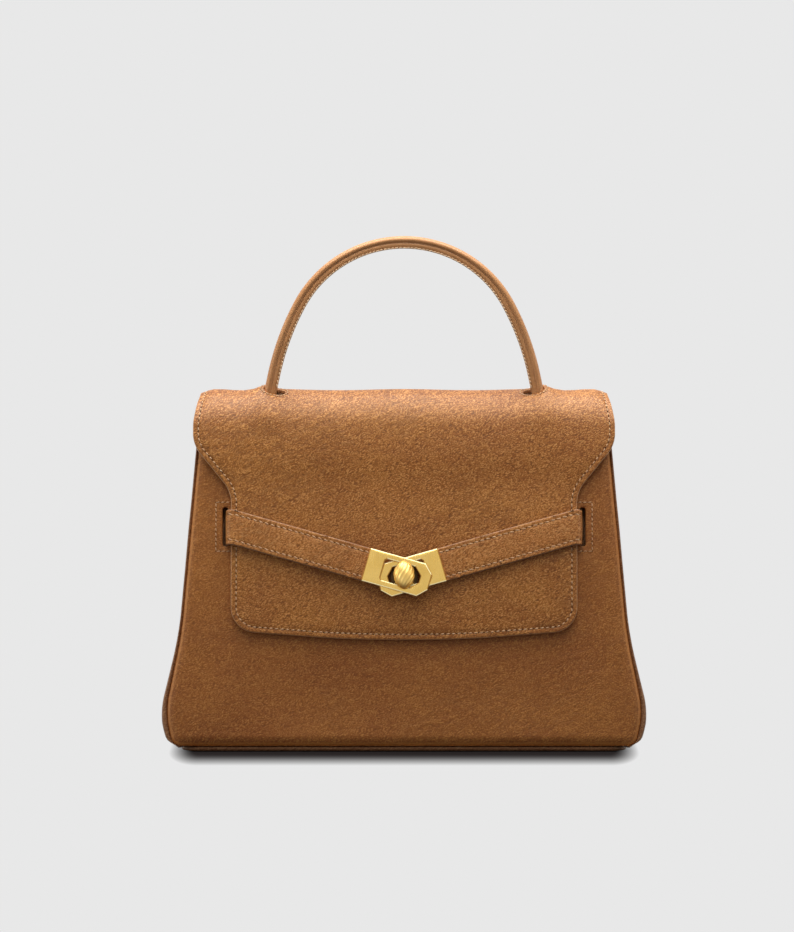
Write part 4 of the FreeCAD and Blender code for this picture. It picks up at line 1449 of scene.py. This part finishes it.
@dataclass
class Handle:
    """The rolled handle: a bead over a sewn lip, swept along the handle's bends."""

    forward: float = 6.0
    top: float = 305.18
    radius: float = 3.75
    crown_radius: float = 71.0
    crown_half_deg: float = 62.0
    side_radius: float = 160.0
    side_deg: float = 16.0
    leg_end: float = 198.55
    bead_centre: float = 1.55
    bead_high: float = 2.2
    bead_deep: float = 3.7
    bead_half_deg: float = 118.0
    groove_deep: float = 2.78
    lip_deep: float = 3.15
    seam_radius: float = -3.2
    seam_sink: float = 0.1
    seam_end: float = 17.0

    @cached_property
    def crown(self) -> Vector:
        """Centre of the crown's bend."""
        return Vector((0.0, -self.forward, self.top - self.radius - self.crown_radius))

    @cached_property
    def leg_slope(self) -> float:
        """Slope of the legs from level, in radians."""
        return math.radians(self.crown_half_deg + self.side_deg)

    def rim(self, centre: Vector, radius: float, turn: float) -> Vector:
        """Point on a bend at a turn from upright."""
        return centre + Vector((math.sin(turn), 0.0, math.cos(turn))) * radius

    @cached_property
    def side_centre(self) -> Vector:
        """Centre of the right side's bend."""
        turn = math.radians(self.crown_half_deg)
        return self.rim(self.crown, self.crown_radius - self.side_radius, turn)

    @cached_property
    def leg_top(self) -> Vector:
        """Top of the right leg's straight run."""
        return self.rim(self.side_centre, self.side_radius, self.leg_slope)

    @cached_property
    def crown_run(self) -> float:
        """Length of half the crown's bend."""
        return self.crown_radius * math.radians(self.crown_half_deg)

    @cached_property
    def side_run(self) -> float:
        """Length of a side's bend."""
        return self.side_radius * math.radians(self.side_deg)

    @cached_property
    def leg_run(self) -> float:
        """Length of a leg's straight run."""
        return (self.leg_top.z - self.leg_end) / math.sin(self.leg_slope)

    def profile(self) -> List[Span]:
        """Cross-section as (outward, depth): a bead above, a groove, and the sewn lip below."""
        bead = []
        for step in range(-7, 8):
            turn = math.radians(self.bead_half_deg * step / 7)
            bead.append((self.bead_centre + self.bead_high * math.cos(turn), self.bead_deep * math.sin(turn)))
        deep = self.lip_deep
        lip = [(0.15, self.groove_deep), (-0.35, self.groove_deep), (-0.75, deep), (-1.9, deep),
               (-3.1, deep * 0.9), (-3.65, deep * 0.55), (-self.radius, 0.0)]
        return bead + lip + [(out, -depth) for out, depth in reversed(lip[:-1])]

    def at(self, run: float) -> Tuple[Vector, Vector, Vector]:
        """Place along the handle.

        Args:
            run: Length from the crown's top, positive to the right.

        Returns:
            The point, the direction to the right along the handle, and the direction outwards.
        """
        reach = abs(run)
        if reach <= self.crown_run:
            turn = reach / self.crown_radius
            point = self.rim(self.crown, self.crown_radius, turn)
        elif reach <= self.crown_run + self.side_run:
            turn = math.radians(self.crown_half_deg) + (reach - self.crown_run) / self.side_radius
            point = self.rim(self.side_centre, self.side_radius, turn)
        else:
            turn = self.leg_slope
            down = Vector((math.cos(turn), 0.0, -math.sin(turn)))
            point = self.leg_top + down * (reach - self.crown_run - self.side_run)
        out = Vector((math.sin(turn), 0.0, math.cos(turn)))
        along = Vector((math.cos(turn), 0.0, -math.sin(turn)))
        if run < 0:
            point.x, out.x, along.z = -point.x, -out.x, -along.z
        return point, along, out

    def build(self) -> None:
        """Build and dress every piece of the handle."""
        self.cover()
        self.seams()
        dress_node("handle_core", CORD)
        for node in ("handle_collars", "handle_pins"):
            dress_node(node, GILT)

    def cover(self) -> None:
        """Sweep the cross-section up the right leg, over the crown and down the left leg."""
        bm = bmesh.new()
        up = Vector((-math.cos(self.leg_slope), 0.0, math.sin(self.leg_slope)))
        out = Vector((math.sin(self.leg_slope), 0.0, math.cos(self.leg_slope)))
        foot = self.leg_top - up * self.leg_run
        ring = [bm.verts.new(foot + out * r + Vector((0.0, y, 0.0))) for r, y in self.profile()]
        bm.faces.new(ring)
        geometry = ring + bm.edges[:]

        def straight(parts: List, direction: Vector) -> List:
            """Carry the last ring along a leg."""
            moved = bmesh.ops.extrude_edge_only(bm, edges=only(parts, bmesh.types.BMEdge))["geom"]
            bmesh.ops.translate(bm, verts=only(moved, bmesh.types.BMVert), vec=direction)
            return [part for part in moved if not isinstance(part, bmesh.types.BMFace)]

        def turned(parts: List, centre: Vector, degrees: float, steps: int) -> List:
            """Carry the last ring round a bend."""
            angle = math.radians(-degrees)
            made = bmesh.ops.spin(bm, geom=parts, cent=centre, axis=(0.0, 1.0, 0.0), angle=angle, steps=steps,
                                  use_duplicate=False)
            return [part for part in made["geom_last"] if not isinstance(part, bmesh.types.BMFace)]

        for _ in range(4):
            geometry = straight(geometry, up * (self.leg_run / 4))
        geometry = turned(geometry, self.side_centre, self.side_deg, 10)
        geometry = turned(geometry, self.crown, 2 * self.crown_half_deg, 64)
        left_centre = Vector((-self.side_centre.x, self.side_centre.y, self.side_centre.z))
        geometry = turned(geometry, left_centre, self.side_deg, 10)
        down = Vector((up.x, 0.0, -up.z))
        for _ in range(4):
            geometry = straight(geometry, down * (self.leg_run / 4))
        bm.faces.new(only(geometry, bmesh.types.BMVert))
        bmesh.ops.remove_doubles(bm, verts=bm.verts[:], dist=MERGE)
        outward(bm)
        Piece("handle_roll", (HANDLE_LEATHER,), Slot.HANDLE, Body.FLAP, replaced=("handle_cover",),
              sharp_deg=75.0).add(bm)

    def seams(self) -> None:
        """Seam along the lip, on its front and its back."""
        bm = bmesh.new()
        seam = Seam(pitch=2.4, length=2.7, radius=0.52, hole=0.0, slant_deg=14.0)
        reach = self.crown_run + self.side_run + self.leg_run - self.seam_end
        line = [Vector((run * reach / 60, 0.0, 0.0)) for run in range(-60, 61)]
        for face in (-1.0, 1.0):
            def place(run: float, _: float, lift: float) -> Vector:
                """Point on the lip's face."""
                point, _, out = self.at(run)
                deep = face * (self.lip_deep + lift - self.seam_sink)
                return point + out * self.seam_radius + Vector((0.0, deep, 0.0))

            seam.sew(bm, line, place, 0.0)
        Piece("handle_seams", (HANDLE_THREAD,), Slot.HANDLE, Body.FLAP).add(bm)


@dataclass
class LockStrap:
    """One lock strap with its windowed plate, from inside its slot to the knob."""

    side: Side
    form: BagForm = FORM
    low: float = 4.6
    thickness: float = 2.0
    half_width: float = 10.2
    root_x: float = 105.2
    turn_radius: float = 3.0
    inner_run: float = 6.0
    end: float = 17.0
    lift_deg: float = 1.0
    bow: float = 0.5
    bow_start: float = 20.0
    bow_run: float = 80.0
    bend_start: float = 0.2
    bend_reach: float = 5.6
    seam_margin: float = 2.7
    plate_thickness: float = 1.3
    plate_half_width: float = 10.2
    plate_outer: float = 23.8
    plate_tip: float = 16.0
    plate_chamfer: float = 5.4
    plate_end_chamfer: float = 0.35
    plate_bevel: float = 0.65
    window_half_length: float = 11.4
    window_half_width: float = 6.55
    window_setback: float = 1.9
    window_chamfer: float = 4.5
    window_end_chamfer: float = 1.2

    @property
    def name(self) -> str:
        """Name of the strap's side."""
        return self.side.name.lower()

    @property
    def body(self) -> Body:
        """Body of this strap."""
        return Body.LEFT_STRAP if self.side is Side.LEFT else Body.RIGHT_STRAP

    @property
    def slope(self) -> float:
        """Slope of the strap in the front view, in radians."""
        return math.atan2(self.form.slot_height - self.form.lock_height, self.root_x)

    @property
    def knee(self) -> float:
        """Run along x where the strap starts to turn into its slot."""
        return self.root_x - self.turn_radius

    @property
    def bend(self) -> Bend:
        """The strap's turn about the fold at its slot."""
        reach, height = self.bend_reach, self.form.slot_height
        start = self.form.front(self.side.value * self.root_x, height, self.bend_start)
        end = self.form.front(self.side.value * (self.root_x - reach), height, reach)
        return Bend(Body.BAG, self.body, start, end)

    def lifted(self, x: float) -> float:
        """How far the left strap stands over the right one at a place along x."""
        if self.side is Side.RIGHT:
            return 0.0
        return max(0.0, self.root_x - x) * math.tan(math.radians(self.lift_deg))

    def place(self, x: float, height: float, lift: float) -> Vector:
        """Place of a point of the flat strap, which turns down into the slot past its knee."""
        middle = self.low + self.thickness / 2
        past = x - self.knee
        quarter = self.turn_radius * math.pi / 2
        offset = lift + self.thickness / 2
        bowed = self.bow * math.sin(math.pi * min(1.0, max(0.0, (x - self.bow_start) / self.bow_run)))
        if past <= 0:
            spot, out = x, middle + offset + self.lifted(x) + bowed
        elif past < quarter:
            turn = past / self.turn_radius
            spot = self.knee + (self.turn_radius + offset) * math.sin(turn)
            out = middle - self.turn_radius + (self.turn_radius + offset) * math.cos(turn)
        else:
            spot = self.root_x + offset
            out = middle - self.turn_radius - (past - quarter)
        return self.form.front(self.side.value * spot, height, out)

    def across(self, along: float, aside: float) -> Vector:
        """Front-view point at a distance along the strap from the knob and to one side of its middle."""
        sine, cosine = math.sin(self.slope), math.cos(self.slope)
        height = self.form.lock_height + along * sine + aside * cosine
        return Vector((along * cosine - aside * sine, height, 0.0))

    def build(self) -> None:
        """Build and dress every piece of the strap."""
        self.leather()
        self.plate()
        for node in ("_plate_back", "_plate_rivets"):
            dress_node(self.name + node, GILT)

    def leather(self) -> None:
        """Strap leather that runs into its slot, with a seam along both edges."""
        rise = self.half_width / math.cos(self.slope)
        middle = self.form.lock_height + self.knee * math.tan(self.slope)
        far = self.knee + self.turn_radius * math.pi / 2 + self.inner_run
        top, bottom = self.across(self.end, self.half_width), self.across(self.end, -self.half_width)
        sheet = Sheet([
            (top.x, top.y, 0.0), (self.knee, middle + rise, 8.0), (far, middle + self.half_width, 0.0),
            (far, middle - self.half_width, 0.0), (self.knee, middle - rise, 8.0), (bottom.x, bottom.y, 0.0),
        ])
        sheet.sewn_hem(self.seam_margin, groove=0.6, sink=0.22, lift=0.1)
        sheet.grid(4.0, 4.0)
        sheet.slice(0, [self.knee + step for step in (0.5, 1.0, 1.6, 2.2, 2.8, 3.4, 4.0, 4.6)])
        sheet.thicken(self.thickness, 0.8)
        bm = sheet.bend(self.place)
        outward(bm)
        nodes = (self.name + "_strap", self.name + "_strap_tail")
        Piece(self.name + "_strap_leather", (STRAP_LEATHER, STRAP_EDGE), Slot.STRAP, bend=self.bend,
              replaced=nodes).add(bm)
        stitches = bmesh.new()
        for sign in (1.0, -1.0):
            aside = sign * (self.half_width - self.seam_margin)
            start = self.across(self.end + 2.5, aside)
            finish = Vector((self.knee + 2.6, middle + aside / math.cos(self.slope), 0.0))
            line = [start, self.across((self.knee - 1.0) / math.cos(self.slope), aside), finish]
            seam = Seam(pitch=3.6, length=2.7, radius=0.36, hole=0.4, slant_deg=-13.0)
            seam.sew(stitches, line, self.place, -0.02)
        Piece(self.name + "_strap_seams", (THREAD, NEEDLE_HOLE_SHADE), Slot.STRAP, bend=self.bend).add(stitches)

    def plate(self) -> None:
        """Chamfered plate with a window for the knob."""
        bm = bmesh.new()
        loops = []
        plate = (self.plate_outer, self.plate_tip, self.plate_half_width, self.plate_chamfer,
                 self.plate_end_chamfer, 0.0)
        window = (self.window_half_length, self.window_half_length, self.window_half_width,
                  self.window_chamfer, self.window_end_chamfer, self.window_setback)
        for outer, tip, half, chamfer, end_chamfer, shift in (plate, window):
            points = [(outer - end_chamfer, half), (outer, half - end_chamfer), (outer, end_chamfer - half),
                      (outer - end_chamfer, -half), (chamfer - tip, -half), (-tip, chamfer - half),
                      (-tip, half - chamfer), (chamfer - tip, half)]
            verts = [bm.verts.new((a + shift, b, 0.0)) for a, b in points]
            loops += [bm.edges.new((verts[index - 1], verts[index])) for index in range(len(verts))]
        bmesh.ops.bridge_loops(bm, edges=loops)
        deepen(bm, self.plate_thickness)
        upper = [edge for edge in rims(bm) if min(vert.co.z for vert in edge.verts) > -0.1]
        round_off(bm, upper, self.plate_bevel, 2)
        bm.normal_update()
        # Bevels that face across the strap take the painted highlight, those at the ends the painted shade.
        for face in bm.faces:
            if 0.2 < face.normal.z < 0.95:
                face.material_index = 1 if abs(face.normal.y) > abs(face.normal.x) else 2
        high = self.low + self.thickness + self.plate_thickness
        for vert in bm.verts:
            point = self.across(vert.co.x, vert.co.y)
            offset = high + vert.co.z + self.lifted(point.x)
            vert.co = self.form.front(self.side.value * point.x, point.y, offset)
        outward(bm)
        Piece(self.name + "_lock_plate", (GILT, GILT_HIGHLIGHT, GILT_SHADE), Slot.GILT, self.body,
              replaced=(self.name + "_plate",), sharp_deg=25.0).add(bm)


@dataclass
class TurnLock:
    """The lock's fluted almond knob and the metal under it."""

    form: BagForm = FORM
    low: float = 10.61
    rise: float = 5.6
    half_length: float = 8.6
    half_width: float = 6.05
    flutes: int = 7
    flute_depth: float = 0.38
    twist: float = 0.9
    taper: float = 1.25

    def build(self) -> None:
        """Build and dress every piece of the lock."""
        self.knob()
        for node in ("lock_back_plate", "lock_rivets", "knob_shaft", "knob_washer"):
            dress_node(node, GILT)
        # The lock base is dressed in painted shade.
        dress_node("lock_base", BRASS_IN_PAINTED_SHADE)
        dress_node("knob_spring_washer", STEEL)

    def knob(self) -> None:
        """Domed almond with flutes that run from tip to tip."""
        bm = bmesh.new()
        bmesh.ops.create_uvsphere(bm, u_segments=72, v_segments=28, radius=1.0)
        for vert in bm.verts:
            share, turn = vert.co.z, math.atan2(vert.co.y, vert.co.x)
            ring = math.hypot(vert.co.x, vert.co.y) ** self.taper
            wave = math.cos(2 * self.flutes * (turn + self.twist * share))
            swell = 1.0 + self.flute_depth / self.half_width * wave * ring
            vert.co = (ring * swell * math.cos(turn) * self.half_width, share * self.half_length,
                       ring * swell * math.sin(turn) * self.rise)
        geometry = bm.verts[:] + bm.edges[:] + bm.faces[:]
        cut = bmesh.ops.bisect_plane(
            bm, geom=geometry, dist=MERGE, plane_co=ORIGIN, plane_no=(0.0, 0.0, 1.0), clear_inner=True)
        bmesh.ops.holes_fill(bm, edges=only(cut["geom_cut"], bmesh.types.BMEdge))
        outward(bm)
        for vert in bm.verts:
            vert.co = self.form.front(vert.co.x, self.form.lock_height + vert.co.y, self.low + vert.co.z)
        Piece("knob_almond", (KNOB_GILT,), Slot.GILT, Body.KNOB, replaced=("knob_head",)).add(bm)


@dataclass(frozen=True)
class Lamp:
    """A soft rectangular lamp, with its place, aim and size in metres."""

    name: str
    at: Triple
    to: Triple
    size: Span
    watts: float
    beam_deg: float = 180.0

    def hang(self) -> None:
        """Hang the lamp in the scene."""
        light = bpy.data.lights.new(self.name, "AREA")
        light.spread = math.radians(self.beam_deg)
        light.shape = "RECTANGLE"
        light.size, light.size_y = self.size
        light.energy = self.watts
        lamp = bpy.data.objects.new(self.name, light)
        bpy.context.scene.collection.objects.link(lamp)
        lamp.location = self.at
        lamp.rotation_euler = (Vector(self.to) - Vector(self.at)).to_track_quat("-Z", "Y").to_euler()


LAMPS = (
    Lamp("top_softbox", (0.0, 0.02, 0.82), (0.0, 0.0, 0.1), (0.95, 0.6), 10.5),
    Lamp("front_softbox", (0.0, -0.42, 0.70), (0.0, -0.02, 0.22), (0.9, 0.25), 0.3, beam_deg=60.0),
    Lamp("left_softbox", (-0.85, -0.3, 0.3), (-0.05, 0.0, 0.1), (0.4, 0.5), 1.8),
    Lamp("right_softbox", (0.85, -0.3, 0.3), (0.05, 0.0, 0.1), (0.4, 0.5), 1.0),
)


def background_rays(tree: bpy.types.NodeTree) -> Socket:
    """Whether a ray sees the plain background: from the camera, or off gloss or through glass.

    Args:
        tree: Node tree that gets the nodes.

    Returns:
        A socket that is 1 for such a ray and 0 for others.
    """
    path = tree.nodes.new("ShaderNodeLightPath").outputs
    seen = path["Is Camera Ray"]
    for ray in ("Is Glossy Ray", "Is Transmission Ray"):
        either = tree.nodes.new("ShaderNodeMath")
        either.operation = "MAXIMUM"
        tree.links.new(seen, either.inputs[0])
        tree.links.new(path[ray], either.inputs[1])
        seen = either.outputs[0]
    return seen


@dataclass
class Stage:
    """Pale floor, soft studio light and the photograph's camera, in metres."""

    pale: float = 0.807
    floor_size: float = 6.0
    floor_drop: float = 0.0002
    # Footprint, narrowing and spans shape the contact shadow painted on the paper and its fade into the
    # background.
    footprint: Triple = (0.121, 0.05, 0.0)
    narrowing: Triple = (5.2, 1.0, 0.0)
    glow_span: Span = (0.02, 0.098)
    painted_shadow_span: Span = (0.045, 0.13)
    painted_shadow_paper: Colour = (0.02, 0.017, 0.017)
    open_paper: Colour = (0.12, 0.118, 0.118)
    room_light: float = 0.06
    distance: float = 5.0
    elevation_deg: float = 3.0
    frame_high_px: float = 932.0
    mm_per_px: float = 0.6
    sensor: float = 36.0
    aim: Triple = (-0.0042, 0.0, 0.1671)

    def build(self) -> None:
        """Set up the floor, the lights, the world and the camera."""
        self.floor()
        self.world()
        for lamp in LAMPS:
            lamp.hang()
        self.camera()

    def floor(self) -> None:
        """Lay the floor."""
        bm = bmesh.new()
        bmesh.ops.create_grid(bm, x_segments=8, y_segments=8, size=self.floor_size / 2)
        bmesh.ops.translate(bm, verts=bm.verts[:], vec=(0.0, 0.0, -self.floor_drop))
        mesh = bpy.data.meshes.new("floor")
        bm.to_mesh(mesh)
        bm.free()
        floor = bpy.data.objects.new("floor", mesh)
        bpy.context.scene.collection.objects.link(floor)
        mesh.materials.append(self.paper())

    def paper(self) -> bpy.types.Material:
        """Paper with a contact shadow painted round the bag's footprint, seen by the camera only, which turns
        into the plain background away from it.
        """
        shader = Shader("floor_paper")
        folded = shader.vector("ABSOLUTE", shader.point((1.0, 1.0, 0.0)))
        outside = shader.vector("MAXIMUM", shader.vector("SUBTRACT", folded, self.footprint))
        drawn = shader.vector("MULTIPLY", outside, self.narrowing)
        reach = shader.node("ShaderNodeVectorMath", {0: drawn}, operation="LENGTH").outputs["Value"]
        away = shader.maths("POWER", shader.spread(reach, *self.glow_span), 2.0)
        # Only the camera sees the painted shadow; other rays see the open paper.
        camera_ray = shader.node("ShaderNodeLightPath").outputs["Is Camera Ray"]
        bounced = shader.maths("SUBTRACT", 1.0, camera_ray)
        outside_painted_shadow = shader.maths("MAXIMUM", shader.spread(reach, *self.painted_shadow_span), bounced)
        paper = shader.blend(outside_painted_shadow, opaque(self.painted_shadow_paper), opaque(self.open_paper))
        surface = shader.surface.inputs
        shader.feed(surface["Base Color"], paper)
        surface["Roughness"].default_value = 0.9
        surface["Specular IOR Level"].default_value = 0.0
        background = {"Color": opaque((self.pale, self.pale, self.pale)), "Strength": 1.0}
        glow = shader.node("ShaderNodeEmission", background)
        mixed = shader.node("ShaderNodeMixShader", {0: shader.times(away, background_rays(shader.tree))})
        shader.feed(mixed.inputs[1], shader.surface.outputs[0])
        shader.feed(mixed.inputs[2], glow.outputs[0])
        shader.feed(shader.tree.nodes["Material Output"].inputs["Surface"], mixed.outputs[0])
        return shader.material

    def world(self) -> None:
        """Pale world for the camera and for gloss, dimmer for the light on the bag."""
        world = bpy.data.worlds.new("studio")
        bpy.context.scene.world = world
        world.use_nodes = True
        tree = world.node_tree
        ground = tree.nodes["Background"]
        ground.inputs["Color"].default_value = opaque((self.pale, self.pale, self.pale))
        strength = tree.nodes.new("ShaderNodeMapRange")
        strength.inputs["To Min"].default_value = self.room_light
        strength.inputs["To Max"].default_value = 1.0
        tree.links.new(background_rays(tree), strength.inputs["Value"])
        tree.links.new(strength.outputs[0], ground.inputs["Strength"])

    def camera(self) -> None:
        """Long lens at the photograph's height and framing."""
        data = bpy.data.cameras.new("photo")
        data.sensor_width = self.sensor
        data.lens = self.sensor * self.distance / (self.frame_high_px * self.mm_per_px * MM)
        data.clip_end = 50.0
        camera = bpy.data.objects.new("photo", data)
        bpy.context.scene.collection.objects.link(camera)
        rise = math.radians(self.elevation_deg)
        camera.location = Vector(self.aim) + Vector((0.0, -math.cos(rise), math.sin(rise))) * self.distance
        camera.rotation_euler = (math.pi / 2 - rise, 0.0, 0.0)
        bpy.context.scene.camera = camera
        bpy.context.scene.view_settings.view_transform = "Standard"


def main() -> None:
    """Build the bag's sub-assemblies and the stage."""
    logging.basicConfig(level=logging.INFO, format="%(name)s %(message)s")
    Stage().build()
    BagBody().build()
    Flap().build()
    Handle().build()
    for side in Side:
        LockStrap(side).build()
    TurnLock().build()


if __name__ == "__main__":
    main()
